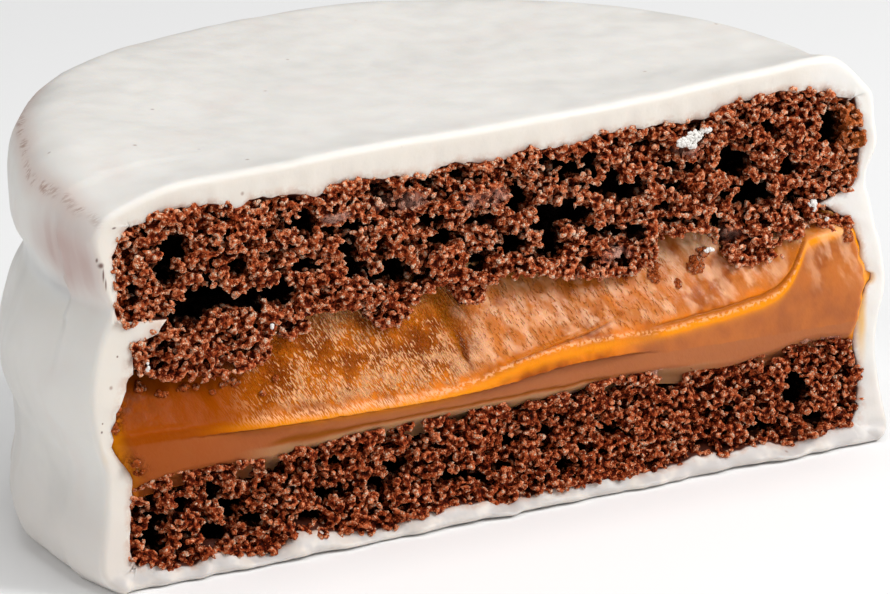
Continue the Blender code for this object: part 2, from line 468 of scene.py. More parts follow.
@dataclass(frozen=True)
class Studio:
    """Plain pale floor, soft light and the camera."""

    azimuth: float = math.radians(-29.32)
    elevation: float = math.radians(15.92)
    roll: float = math.radians(-2.01)
    distance: float = 0.663
    lens: float = 371.0
    look_across: float = 3.84
    look_up: float = -1.64
    look_behind_axis: float = 10.0
    look_height: float = 14.48
    paint: Colour = (0.92, 0.92, 0.92)
    world_strength: float = 0.15
    lamp_aim: float = 0.015

    def towards(self, azimuth: float, elevation: float) -> Vector:
        """Point from the half to a place round it, in radians right of the front and up."""
        flat = math.cos(elevation)
        return Vector((math.sin(azimuth) * flat, -math.cos(azimuth) * flat, math.sin(elevation)))

    def axes(self) -> tuple[Vector, Vector, Vector]:
        """Work out the camera's own axes.

        Returns:
            Its right, its up and its back, as unit vectors.
        """
        back = self.towards(self.azimuth, self.elevation)
        level = Vector((math.cos(self.azimuth), math.sin(self.azimuth), 0.0))
        upright = back.cross(level)
        right = math.cos(self.roll) * level + math.sin(self.roll) * upright
        up = math.cos(self.roll) * upright - math.sin(self.roll) * level
        return right, up, back

    def camera(self) -> None:
        """Stand the camera in front of the cut, a little to its left."""
        right, up, back = self.axes()
        aim = Vector((0.0, ROUND.axis_y + self.look_behind_axis, self.look_height)) * MM
        aim += (right * self.look_across + up * self.look_up) * MM
        lens = bpy.data.cameras.new("camera")
        lens.lens = self.lens
        lens.clip_start = 0.01
        lens.clip_end = 20.0
        camera = stood("camera", lens)
        turn = Matrix((right, up, back)).transposed().to_4x4()
        camera.matrix_world = Matrix.Translation(aim + back * self.distance) @ turn
        bpy.context.scene.camera = camera

    def floor(self) -> None:
        """Lay the floor."""
        shape = bmesh.new()
        bmesh.ops.create_grid(shape, x_segments=1, y_segments=1, size=6.0)
        floor = stood("floor", mesh_of(shape, "floor"))
        paint, sheet, shader = blank("pale_floor")
        for name, value in (("Base Color", self.paint), ("Roughness", 0.9),
                            ("Specular IOR Level", 0.1)):
            sheet.feed(shader.inputs[name], value)
        floor.data.materials.append(paint)

    def lamp(self, name: str, azimuth: float, elevation: float, distance: float, size: float,
             power: float, colour: Colour = (1.0, 1.0, 1.0)) -> None:
        """Hang a square soft lamp that looks at the half.

        Args:
            name: Its name.
            azimuth: Degrees from straight in front of the cut, towards the right.
            elevation: Degrees above the floor.
            distance: Metres from the half.
            size: Metres across.
            power: Watts.
            colour: The light's colour.
        """
        way = self.towards(math.radians(azimuth), math.radians(elevation))
        light = bpy.data.lights.new(name, "AREA")
        light.shape = "SQUARE"
        light.size = size
        light.energy = power
        light.color = colour
        lamp = stood(name, light)
        lamp.rotation_euler = way.to_track_quat("Z", "Y").to_euler()
        lamp.location = Vector((0.0, 0.0, self.lamp_aim)) + way * distance

    def build(self) -> None:
        """Make the whole studio."""
        self.camera()
        self.floor()
        self.lamp("key", azimuth=46.0, elevation=37.0, distance=0.6, size=0.24, power=2.55)
        self.lamp("overhead", azimuth=0.0, elevation=85.0, distance=0.7, size=0.5, power=1.85)
        self.lamp("left_fill", azimuth=-75.0, elevation=30.0, distance=0.7, size=0.5, power=1.45)
        self.lamp("sheen", azimuth=30.0, elevation=21.0, distance=0.7, size=0.34, power=0.6)
        world = bpy.data.worlds.new("studio")
        world.use_nodes = True
        inputs = world.node_tree.nodes["Background"].inputs
        inputs["Color"].default_value = (1.0, 1.0, 1.0, 1.0)
        inputs["Strength"].default_value = self.world_strength
        scene = bpy.context.scene
        scene.world = world
        scene.view_settings.view_transform = "Standard"
        scene.view_settings.look = "None"


# --------------------------------------------------------------------------- finishes


def blank(name: str) -> tuple[bpy.types.Material, Sheet, bpy.types.Node]:
    """Start a material.

    Args:
        name: Its name.

    Returns:
        The material, a sheet on its nodes, and its Principled shader.
    """
    made = bpy.data.materials.new(name)
    made.use_nodes = True
    return made, Sheet(made.node_tree), made.node_tree.nodes["Principled BSDF"]


def place_in_mm(sheet: Sheet) -> Term:
    """Find object coordinates in millimetres about the round's axis.

    Args:
        sheet: The node sheet.

    Returns:
        The place.
    """
    where = sheet.out("ShaderNodeTexCoord", output="Object")
    return sheet.out("ShaderNodeMapping", {"Vector": where, "Location": (0.0, -ROUND.axis_y, 0.0),
                                           "Scale": (1.0 / MM, 1.0 / MM, 1.0 / MM)})


def blot(sheet: Sheet, where: Term, centre: tuple, reach: tuple, low: float = 0.2) -> Term:
    """Make a soft patch that is 1 at a point and 0 past its reach.

    Args:
        sheet: The node sheet.
        where: The place that it is read at.
        centre: The patch's middle.
        reach: How far it goes along each axis.
        low: How full its middle is cut.

    Returns:
        The patch's strength.
    """
    return sheet.remap(((where - centre) / reach).length(), 1.0, low)


def mark(sheet: Sheet, name: str) -> Term:
    """Read one of the marks that a piece carries in its own mesh."""
    return sheet.out("ShaderNodeAttribute", output="Fac", attribute_name=name)


def dress(sheet: Sheet, shader: bpy.types.Node, settings: dict, height: Term, strength: float,
          distance: float) -> None:
    """Feed a shader, with a bump.

    Args:
        sheet: The node sheet.
        shader: The Principled shader.
        settings: Terms or values for its inputs, by name.
        height: The bump's height.
        strength: How much of the bump shows.
        distance: How deep it is, in metres.
    """
    bump = sheet.out("ShaderNodeBump", {"Strength": strength, "Distance": distance,
                                        "Height": height})
    for name, value in {**settings, "Normal": bump}.items():
        sheet.feed(shader.inputs[name], value)


@dataclass(frozen=True)
class CrumbFinish:
    """Matte chocolate crumb, painted light on raised grains, painted near-black shade in pits."""

    name: str = "chocolate_crumb"
    # The pit and shade colours are painted shade in deep pits and crevices.
    pit: Colour = (0.004, 0.001, 0.0005)
    shade: Colour = (0.020, 0.003, 0.001)
    dark: Colour = (0.115, 0.010, 0.002)
    body: Colour = (0.430, 0.075, 0.018)
    # The light colour is partly lighter grains, partly painted light; glint is a painted glint.
    light: Colour = (0.830, 0.300, 0.140)
    painted_glint: Colour = (1.000, 0.720, 0.530)
    pale: Colour = (0.560, 0.310, 0.240)
    # The warm colour is a painted warm glow at the right end of the upper crumb.
    warm: Colour = (0.620, 0.170, 0.032)
    coated: Colour = (0.400, 0.085, 0.010)
    grit: float = 0.21
    pale_spots: Sequence[tuple] = (
        (-7.0, 24.4, 2.8, 0.8), (-0.5, 23.6, 2.6, 0.9), (-12.6, 24.2, 1.4, 0.5),
        (16.6, 24.6, 1.8, 0.9), (26.6, 8.9, 3.2, 0.6), (13.4, 8.6, 1.2, 0.5),
        (10.0, 17.6, 1.6, 0.8), (19.8, 17.4, 1.4, 0.8),
    )

    def build(self) -> bpy.types.Material:
        """Make the material.

        Returns:
            The material.
        """
        made, sheet, shader = blank(self.name)
        where = place_in_mm(sheet)
        patch = sheet.cloud(where, 0.55, detail=3.0, roughness=0.6)
        stir = sheet.cloud(where, 2.4, colour=True)
        distance, luck, _ = sheet.cells(where + stir * 0.35, scale=1.0 / self.grit)
        middle = sheet.remap(distance, 0.62, 0.1)
        luck = sheet.parts(luck)[0]
        mix = patch * 0.3
        # Crest is painted light on raised grains and painted shade between them; tone and luck
        # vary at random.
        for part, share in ((mark(sheet, "crest"), 0.50), (mark(sheet, "tone"), 0.14),
                            (luck, 0.26), (middle, 0.26)):
            mix = part * share + mix
        mix = mix - sheet.remap(sheet.parts(where)[2], 8.0, 14.0, 0.3, 0.24)
        # The ramp runs from painted shade to painted glints on the brightest grains.
        colour = sheet.ramp(mix, [(0.05, self.shade), (0.27, self.dark), (0.46, self.body),
                                  (0.64, self.light), (0.80, self.painted_glint)])
        # Painted warm glow at the right end of the upper crumb, beside the icing.
        rim = blot(sheet, where, (30.6, ROUND.cut, 23.6), (2.6, 4.0, 5.0))
        pale = 0.0
        for x, z, wide, tall in self.pale_spots:
            spot = blot(sheet, where, (x, ROUND.cut, z), (wide, 3.0, tall), low=0.5)
            pale = sheet.most(spot, pale)
        pale = pale * sheet.remap(patch, 0.36, 0.56, 0.15, 0.85)
        # Painted warm glow, pale patches, caramel coating and painted pit shade, in that order.
        colour = sheet.tinted(colour, (rim * 0.4, self.warm), (pale, self.pale),
                              (mark(sheet, "coated"), self.coated), (mark(sheet, "pit"), self.pit))
        rough = sheet.cloud(where, 8.0, roughness=0.7)
        dress(sheet, shader, {
            "Base Color": colour,
            "Roughness": sheet.remap(luck, 0.2, 0.9, 0.75, 0.35),
            "Specular IOR Level": 0.05,
        }, rough * 0.4 + middle, strength=1.0, distance=0.0002)
        return made


@dataclass(frozen=True)
class IcingFinish:
    """Set white sugar icing: warm white, faintly clouded, satin."""

    name: str = "white_icing"
    glow: float = 0.35
    body: Colour = (0.80, 0.775, 0.735)
    grey: Colour = (0.70, 0.68, 0.645)
    blush: Colour = (0.72, 0.56, 0.50)
    smudge: Colour = (0.24, 0.11, 0.065)
    amber: Colour = (0.80, 0.44, 0.05)
    speck: Colour = (0.11, 0.030, 0.018)
    # The inside colour is crumb brown darkened near black: painted shade past the crumb.
    inside: Colour = (0.070, 0.013, 0.005)
    cut: Colour = (0.75, 0.695, 0.625)
    mauve: Colour = (0.56, 0.42, 0.385)
    # The shaded colour and the next are painted shade: under the cut rim, low on the walls.
    shaded: Colour = (0.56, 0.53, 0.51)
    low_tint: Colour = (0.66, 0.59, 0.55)
    crumbs: Colour = (0.58, 0.38, 0.29)
    shoulder: Sequence[Point] = (
        (-0.30, -5.4), (-0.17, -4.9), (-0.12, -4.3), (-0.06, -4.2), (0.03, -3.5), (0.13, -3.8),
        (0.23, -3.4), (0.38, -1.9), (0.56, -1.9), (0.90, -2.1),
    )
    amber_spots: Sequence[tuple] = (
        (-31.2, 11.2, (1.0, 1.6, 2.6)), (31.1, 12.4, (0.8, 1.0, 0.7)),
        (30.3, 11.0, (0.7, 1.0, 6.0)), (-30.9, 15.2, (0.4, 0.5, 0.6)),
    )
    specks: Sequence[tuple] = (
        (-31.35, 23.9, (0.28, 0.9, 0.30)), (-31.6, 24.3, (0.10, 0.8, 0.26)),
        (-31.2, 23.2, (0.09, 0.8, 0.7)), (-31.05, 22.5, (0.08, 0.8, 0.6)),
        (-30.2, 26.4, (0.24, 0.8, 0.13)), (-30.4, 17.2, (0.12, 0.5, 0.12)),
        (-31.9, 12.0, (0.12, 0.5, 0.14)), (-31.8, 12.6, (0.10, 0.5, 0.10)),
    )

    def clouded(self, sheet: Sheet, where: Term) -> Term:
        """Cloud the body of the icing with faint grey and warm places.

        Args:
            sheet: The node sheet.
            where: The place in the icing.

        Returns:
            The colour.
        """
        cloud = sheet.cloud(where, 0.09, detail=3.0, distortion=0.6)
        wisp = sheet.cloud(where * (0.07, 0.13, 0.2), 1.0, detail=3.0, distortion=1.2)
        warm = sheet.cloud(where, 0.16, distortion=0.4)
        return sheet.tinted(self.body, (sheet.remap(cloud, 0.48, 0.80), self.grey),
                            (sheet.remap(wisp, 0.56, 0.66) * 0.12, self.grey),
                            (sheet.remap(warm, 0.55, 0.75) * 0.14, self.blush))

    def rubbed(self, sheet: Sheet, where: Term, colour: Term) -> Term:
        """Lay strokes and a blush along the left shoulder, where the icing was rubbed thin.

        Args:
            sheet: The node sheet.
            where: The place in the icing.
            colour: The icing's colour so far.

        Returns:
            The colour with the wear on it.
        """
        x, y, z = sheet.parts(where)
        angle = sheet.work("ARCTAN2", y, x * -1.0)
        round_way = angle * 32.0
        high = z - sheet.joined(x, y, 0.0).length()
        stroke = sheet.joined(high * 0.7 + round_way, 0.0, high * 0.38)
        streak = sheet.cloud(stroke, 2.5, detail=3.0, roughness=0.65, distortion=0.4)
        way = sheet.joined(round_way, 0.0, 0.0)
        sway = sheet.cloud(way, 0.35) - 0.5
        climb = sheet.along(angle, self.shoulder, -0.3, 0.9, -6.0, -1.0)
        rim = abs(high - (sway * 1.2 + climb))
        near = sheet.remap(abs(angle - 0.42), 0.62, 0.45)
        gaps = sheet.remap(sheet.cloud(way, 0.5, detail=1.0), 0.40, 0.58, 0.1, 1.0)
        line = sheet.remap(rim, 0.85, 0.1) * near
        smudge = line * gaps * sheet.remap(streak, 0.45, 0.56)
        haze = sheet.remap(rim, 2.6, 0.2) * near * 0.55
        return sheet.tinted(colour, (smudge, self.smudge), (haze, self.blush))

    def spotted(self, sheet: Sheet, where: Term, colour: Term, spots: Sequence[tuple],
                strength: float, tint: Colour) -> Term:
        """Lay spots on the icing near the cut.

        Args:
            sheet: The node sheet.
            where: The place in the icing.
            colour: The icing's colour so far.
            spots: The place across, the height and the reach of each spot.
            strength: How much tint the middle of a spot takes.
            tint: The colour of the spots.

        Returns:
            The colour with the spots on it.
        """
        coats = [(blot(sheet, where, (x, ROUND.cut, z), reach) * strength, tint)
                 for x, z, reach in spots]
        return sheet.tinted(colour, *coats)

    def build(self) -> bpy.types.Material:
        """Make the material.

        Returns:
            The material.
        """
        made, sheet, shader = blank(self.name)
        where = place_in_mm(sheet)
        x, _, z = sheet.parts(where)
        colour = self.rubbed(sheet, where, self.clouded(sheet, where))
        colour = self.spotted(sheet, where, colour, self.amber_spots, 0.9, self.amber)
        rose = blot(sheet, where, (-32.5, -1.0, 23.6), (7.0, 9.0, 4.4))
        fall = sheet.cloud(where * (0.5, 0.5, 0.09), 1.0)
        rose = rose * sheet.remap(fall, 0.35, 0.65, 0.75, 1.05)
        rim = mark(sheet, "cut")
        # Painted shade: the walls grey towards the foot.
        foot = sheet.remap(z, 9.0, 3.0) * 0.35
        # Painted shade along the bottom of the cut rim, near the floor.
        under = rim * sheet.remap(z, 2.2, 0.8)
        under = under * sheet.remap(sheet.cloud(where, 0.7), 0.3, 0.6)
        colour = sheet.tinted(colour, (rose, self.mauve),
                              (rim * sheet.remap(x, 28.5, 25.0), self.cut), (foot, self.low_tint),
                              (under, self.shaded))
        colour = self.spotted(sheet, where, colour, self.specks, 0.85, self.speck)
        # Real crumb stain in the band; near-black painted shade on the inner face past it.
        stain_and_shade = mark(sheet, "stain_and_shade")
        patchy = sheet.remap(sheet.cloud(where, 1.3, detail=3.0, roughness=0.7), 0.35, 0.62)
        distance, luck, _ = sheet.cells(where, scale=0.55)
        grain = sheet.remap(distance, 0.12, 0.02) * (sheet.parts(luck)[0] > 0.93) * 0.6
        colour = sheet.tinted(colour, (stain_and_shade * patchy, self.crumbs),
                              (sheet.remap(stain_and_shade, 0.75, 0.98), self.inside), (grain, self.smudge))
        rough = sheet.cloud(where, 0.5, detail=3.0)
        low = sheet.cloud(where, 0.45, detail=3.0)
        fine = sheet.cloud(where, 3.2, detail=3.0, roughness=0.6)
        dress(sheet, shader, {
            "Base Color": colour,
            "Roughness": sheet.remap(rough, 0.3, 0.7, 0.38, 0.58),
            "Subsurface Weight": self.glow,
            "Subsurface Radius": (1.0, 0.8, 0.62),
            "Subsurface Scale": 0.0011,
            "Specular IOR Level": 0.4,
        }, fine * 0.14 + low * 0.45, strength=0.25, distance=0.0003)
        return made


@dataclass(frozen=True)
class CaramelFinish:
    """Glossy dulce de leche, dull where the knife smeared it, with painted glow where it is thin.
    """

    name: str = "dulce_de_leche"
    deep: Colour = (0.295, 0.055, 0.0008)
    body: Colour = (0.73, 0.185, 0.004)
    cream: Colour = (0.53, 0.165, 0.034)
    # The sheen and bright colours are painted sheen and painted highlights on the slope and lip.
    sheen: Colour = (1.00, 0.580, 0.340)
    painted_highlight: Colour = (0.93, 0.475, 0.225)
    seam: Colour = (0.50, 0.130, 0.003)
    nick: Colour = (0.46, 0.150, 0.028)
    dull: Colour = (0.41, 0.135, 0.050)
    groove: Colour = (0.27, 0.070, 0.004)
    beige: Colour = (0.42, 0.235, 0.115)
    bruise: Colour = (0.170, 0.050, 0.022)
    haze: Colour = (0.33, 0.215, 0.10)
    # The glow colour is painted light through thin caramel.
    glow: Colour = (0.90, 0.290, 0.003)
    # The line colour is painted shade in creases, and the crumb crust at the left edge.
    line: Colour = (0.17, 0.028, 0.002)
    pull: float = 62.0

    def scratched(self, sheet: Sheet, where: Term, beside: float, along: float) -> Term:
        """Place on a pattern drawn out along the way that the filling was pulled.

        Args:
            sheet: The node sheet.
            where: The place in the filling.
            beside: The pattern's waves across the pull, for each millimetre.
            along: Its waves along the pull.

        Returns:
            The place in the pattern.
        """
        lean = math.radians(self.pull)
        across = where.dot((math.sin(lean), 0.0, math.cos(lean)))
        down = where.dot((math.cos(lean), 0.0, -math.sin(lean)))
        return sheet.joined(across * beside, sheet.parts(where)[1], down * along)

    def build(self) -> bpy.types.Material:
        """Make the material.

        Returns:
            The material.
        """
        made, sheet, shader = blank(self.name)
        where = place_in_mm(sheet)
        x, _, z = sheet.parts(where)
        scored, dull, smooth = (mark(sheet, name) for name in ("scored", "dull", "cream"))
        patch = sheet.cloud(where, 0.35, detail=3.0, roughness=0.55)
        amber = sheet.remap(patch, 0.34, 0.6) * sheet.remap(x, -24.0, -12.0)
        thick = smooth * sheet.remap(patch, 0.38, 0.52, 0.35, 0.95)
        high = sheet.remap(z, 15.4, 17.4) * sheet.remap(patch, 0.35, 0.6) * 0.7
        low_tint = sheet.mixed(sheet.remap(x, -30.0, -8.0, 0.2, 1.0), self.deep, self.dull)
        # The glow mark lays on painted light where the caramel is thin.
        colour = sheet.tinted(self.deep, (amber, self.body), (thick, self.cream),
                              (high, self.haze), (dull, low_tint), (mark(sheet, "glow"), self.glow))

        combed = self.scratched(sheet, where, 10.0, 2.3)
        comb = sheet.cloud(combed, 1.0, detail=1.5, distortion=0.35)
        packed = sheet.cloud(where, 0.42, roughness=0.6) + comb
        packed = packed + sheet.remap(x * -0.04 + z, 10.8, 15.2, 0.05, -0.1)
        # Painted highlight strokes over the scored slope.
        torn = sheet.remap(packed, 0.97, 1.07) * scored * 0.8
        # Painted sheen over the smooth slope.
        sheen = sheet.cloud(self.scratched(sheet, where, 0.9, 0.35), 1.0, detail=3.0)
        sheen = sheet.remap(sheen, 0.45, 0.62) * smooth * 0.62
        nicks = sheet.cloud(self.scratched(sheet, where, 7.5, 1.9), 1.0, detail=1.0,
                            distortion=0.2)
        nicks = sheet.remap(nicks, 0.41, 0.29) * mark(sheet, "nicked")
        beads = sheet.cloud(where, 4.2, detail=1.0)
        wash = sheet.cloud(combed, 1.0, detail=1.0)
        # Painted highlight dots along the lip's crest, streaked on the left.
        highlight_dots = sheet.mixed(sheet.remap(x, -9.0, -3.0), wash, beads, kind="FLOAT")
        highlight_dots = sheet.remap(highlight_dots, 0.43, 0.56) * mark(sheet, "painted_lip_highlight") * 0.75
        bruise = sheet.remap(sheet.cloud(where, 0.8, detail=3.0, roughness=0.65), 0.38, 0.62)
        bruise = bruise * mark(sheet, "bruised") * 0.6
        rim = sheet.remap(sheet.cloud(where, 2.6, detail=3.0, roughness=0.7), 0.42, 0.62)
        rim = rim * mark(sheet, "crusted")
        # Painted highlights, sheen and dots, and painted shade in creases from the line mark.
        colour = sheet.tinted(
            colour, (torn, self.painted_highlight), (sheen, self.sheen), (nicks * 0.6, self.nick),
            (mark(sheet, "seam"), self.seam), (highlight_dots, self.painted_highlight),
            (mark(sheet, "beige"), self.beige), (mark(sheet, "groove"), self.groove),
            (bruise, self.bruise), (rim, self.line), (mark(sheet, "line"), self.line))
        rough = sheet.cloud(where, 0.9, detail=3.0)
        gloss = sheet.remap(rough, 0.3, 0.7, 0.2, 0.36)
        shine = sheet.remap(x, -22.0, -8.0, 0.02, 0.12)
        groove = rim * 0.8 + (sheet.remap(comb, 0.38, 0.6) * scored - nicks)
        dress(sheet, shader, {
            "Base Color": colour,
            "Roughness": sheet.mixed(dull, gloss, 0.55, kind="FLOAT"),
            "Specular IOR Level": sheet.mixed(dull, shine, 0.06, kind="FLOAT"),
            "Subsurface Weight": 0.35,
            "Subsurface Radius": (1.0, 0.38, 0.08),
            "Subsurface Scale": 0.0012,
        }, sheet.cloud(where, 1.6) * 0.22 + groove, strength=0.9, distance=0.00022)
        return made


# --------------------------------------------------------------------------- crumb


@dataclass
class CrumbFace:
    """Open crumb at the cut of one biscuit, as joined grains round air holes.

    The crumb is a field read at every grain's own centre, so that grains stay whole at the
    edges of holes, at the outline and at the torn face.
    """

    layer: Layer
    top: Sequence[Point]
    foot: Sequence[Point]
    left: Sequence[Point]
    right: Sequence[Point]
    holes: Sequence[tuple[float, float, float, float, float]]
    grain: Vector = field(default_factory=lambda: Vector((0.40, 0.40, 0.36)))
    pore: Vector = field(default_factory=lambda: Vector((0.76, 0.76, 1.25)))
    pore_limit: float = 0.455
    depth: float = 2.9
    proud: float = 1.3
    voxel: float = 0.132
    pieces: int = 5
    margin: float = 0.8
    missing: float = 0.13
    wider: float = 1.15
    least_bit: float = 1500.0
    # Depths behind the face over which the painted pit shade sets in.
    pit_shade_from: float = 0.5
    pit_shade_full: float = 2.0
    roughness: float = 0.26
    edge_sink: float = 0.25
    notch: float = 0.0
    wide_relief: float = 2.3
    fine_relief: float = 1.3

    def bounds(self) -> tuple[float, float, float, float]:
        """Work out how far the crumb reaches.

        Returns:
            Its least and greatest X, then its least and greatest Z.
        """
        across = [x for _, x in self.left] + [x for _, x in self.right]
        heights = [z for _, z in self.top] + [z for _, z in self.foot]
        return (min(across) - self.margin, max(across) + self.margin,
                min(heights) - self.margin, max(heights) + self.margin)

    def hole_cloud(self) -> bpy.types.Object:
        """Make points at the large air holes that carry each hole's half sizes.

        Returns:
            An object of loose points with a "reach" attribute.
        """
        mesh = bpy.data.meshes.new("holes")
        centres = [(x, ROUND.cut + deep * 0.35, z) for x, z, _, _, deep in self.holes]
        mesh.from_pydata(centres, [], [])
        reach = mesh.attributes.new("reach", "FLOAT_VECTOR", "POINT")
        sizes = [(wide * self.wider, deep, tall * self.wider)
                 for _, _, wide, tall, deep in self.holes]
        reach.data.foreach_set("vector", [part for size in sizes for part in size])
        return stood("holes", mesh)

    def relief(self, sheet: Sheet, place: Term) -> tuple:
        """How the torn face swells and sinks, in millimetres.

        Args:
            sheet: The node sheet.
            place: Where it is read.

        Returns:
            The whole relief and its finer part.
        """
        x, _, z = sheet.parts(place)
        flat = sheet.joined(x, 0.0, z)
        wide = sheet.cloud(flat, 0.32, detail=1.0) - 0.5
        fine = sheet.cloud(flat, 1.1, detail=1.0) - 0.5
        whole = fine * self.fine_relief + wide * self.wide_relief
        return whole, fine

    def solidity(self, sheet: Sheet, centre: Term, holes: Term) -> Term:
        """How far inside the crumb a grain's centre lies, in millimetres.

        Args:
            sheet: The node sheet.
            centre: The grain's centre.
            holes: The points at the large air holes.

        Returns:
            The distance, negative outside.
        """
        low_x, high_x, low_z, high_z = self.bounds()
        stir = sheet.cloud(centre, 0.8, colour=True) - (0.5, 0.5, 0.5)
        ragged = centre + stir * 1.9
        x, y, z = sheet.parts(centre)
        behind = y - ROUND.cut

        nearest = sheet.out("GeometryNodeSampleNearest", {"Geometry": holes,
                                                          "Sample Position": ragged}, "Index",
                            domain="POINT")
        middle, reach = (
            sheet.out("GeometryNodeSampleIndex", {"Geometry": holes, "Value": value,
                                                  "Index": nearest},
                      data_type="FLOAT_VECTOR", domain="POINT")
            for value in (sheet.out("GeometryNodeInputPosition"),
                          sheet.out("GeometryNodeInputNamedAttribute", {"Name": "reach"},
                                    data_type="FLOAT_VECTOR")))
        away = (ragged - middle) / reach
        hole = (away.length() - 1.0) * 0.8

        stretched = centre * tuple(self.pore)
        pore = sheet.cloud(stretched, 1.0, roughness=0.55, distortion=0.3)
        tight = sheet.cloud(stretched * (1.9, 1.9, 1.9), 1.0, detail=1.0)
        pore = sheet.least((pore - self.pore_limit) * 5.0, (tight - 0.385) * 3.5)
        pore = sheet.most(behind - 1.1, 0.0) * 1.1 + pore

        relief, fine = self.relief(sheet, centre)
        over = sheet.along(x, self.top, low_x, high_x, low_z, high_z)
        under = sheet.along(x, self.foot, low_x, high_x, low_z, high_z)
        ends = sheet.along(z, self.right, low_z, high_z, low_x, high_x)
        slant = sheet.remap(abs(z - NOTCH_HEIGHT), 2.5, 0.8, 0.0, self.notch)
        lifted = (NOTCH_TIP - x) * slant + z
        starts = sheet.along(lifted, self.left, low_z, high_z, low_x, high_x)
        open_side = z - under
        closed_side = over - z
        if self.layer is Layer.LOWER:
            open_side, closed_side = closed_side, open_side
        skin = sheet.least(x - starts, ends - x, closed_side)
        outline = sheet.least(skin, open_side) + fine * 0.6
        pore = pore + sheet.most((0.8 - skin) * 0.9, 0.0)
        pore = pore + sheet.most((0.7 - open_side) * 0.9, 0.0)
        rounded = skin * 1.2 + (behind + self.edge_sink)
        return sheet.least(hole, pore, behind + relief, outline, rounded)

    def recipe(self, low_x: float, high_x: float) -> bpy.types.GeometryNodeTree:
        """Lay the nodes that turn the field into a mesh between two places across.

        Args:
            low_x: Where this piece of the crumb starts.
            high_x: Where it ends.

        Returns:
            The node group, for a modifier on the hole points.
        """
        tree = bpy.data.node_groups.new("crumb", "GeometryNodeTree")
        tree.interface.new_socket("Geometry", in_out="INPUT", socket_type="NodeSocketGeometry")
        tree.interface.new_socket("Geometry", in_out="OUTPUT", socket_type="NodeSocketGeometry")
        sheet = Sheet(tree)
        holes = sheet.out("NodeGroupInput")
        place = sheet.out("GeometryNodeInputPosition")
        stir = sheet.cloud(place, 1.3, detail=1.0, colour=True) - (0.5, 0.5, 0.5)
        bent = place + stir * 0.55
        distance, luck, centre = sheet.cells(bent / tuple(self.grain))
        tone, size_luck, gap_luck = sheet.parts(luck)
        inside = self.solidity(sheet, centre * tuple(self.grain), holes)
        inside = inside - (gap_luck < self.missing) * 0.7
        size = sheet.remap(inside, 0.0, 0.55, 0.52, 1.0, kind="LINEAR")
        size = (size_luck * 0.3 + size) * (inside > 0.0)
        chips = sheet.cloud(place, 4.2, roughness=0.7) - 0.5
        density = chips * (self.roughness * 4.0) + size - distance + 0.5
        _, _, low_z, high_z = self.bounds()
        low = (low_x, ROUND.cut - self.proud, low_z)
        high = (high_x, ROUND.cut + self.depth, high_z)
        limits = {"Density": density, "Min": low, "Max": high}
        for axis, start, end in zip("XYZ", low, high):
            limits[f"Resolution {axis}"] = max(2, round((end - start) / self.voxel))
        cube = sheet.out("GeometryNodeVolumeCube", limits)
        skin = sheet.out("GeometryNodeVolumeToMesh", {"Volume": cube, "Threshold": 0.5})
        bit = sheet.out("GeometryNodeInputMeshIsland", output="Island Index")
        total = sheet.out("GeometryNodeAccumulateField", {"Value": 1.0, "Group ID": bit}, "Total")
        made = sheet.out("GeometryNodeDeleteGeometry",
                         {"Geometry": skin, "Selection": total < self.least_bit})
        # Depth behind the torn face, stored as the pit mark: painted near-black shade.
        sunk = sheet.parts(place)[1] - ROUND.cut + self.relief(sheet, place)[0]
        pit = sheet.remap(sunk, self.pit_shade_from, self.pit_shade_full)
        # Stored as the crest mark: painted light on raised grains, painted shade in crevices.
        eased = sheet.out("GeometryNodeBlurAttribute", {"Value": place, "Iterations": 6},
                          data_type="FLOAT_VECTOR")
        stands = (place - eased).dot(sheet.out("GeometryNodeInputNormal"))
        crest = sheet.remap(stands, -0.05, 0.08, kind="LINEAR")
        for name, value in (("pit", pit), ("tone", tone), ("crest", crest)):
            made = sheet.out("GeometryNodeStoreNamedAttribute",
                             {"Geometry": made, "Name": name, "Value": value})
        sheet.add("NodeGroupOutput", {0: made})
        return tree

    def build(self, finish: bpy.types.Material) -> list[bpy.types.Object]:
        """Make the crumb's pieces, side by side.

        Args:
            finish: Their material.

        Returns:
            The pieces.
        """
        low_x, high_x, _, _ = self.bounds()
        width = (high_x - low_x) / self.pieces
        made = []
        for index in range(self.pieces):
            points = self.hole_cloud()
            points.modifiers.new("crumb", "NODES").node_group = self.recipe(
                low_x + index * width, low_x + (index + 1) * width)
            graph = bpy.context.evaluated_depsgraph_get()
            mesh = bpy.data.meshes.new_from_object(points.evaluated_get(graph))
            bpy.data.objects.remove(points)
            made.append(piece_from(f"{self.layer.value}_crumb_{index + 1}", mesh, finish,
                                   self.layer.value))
        return made


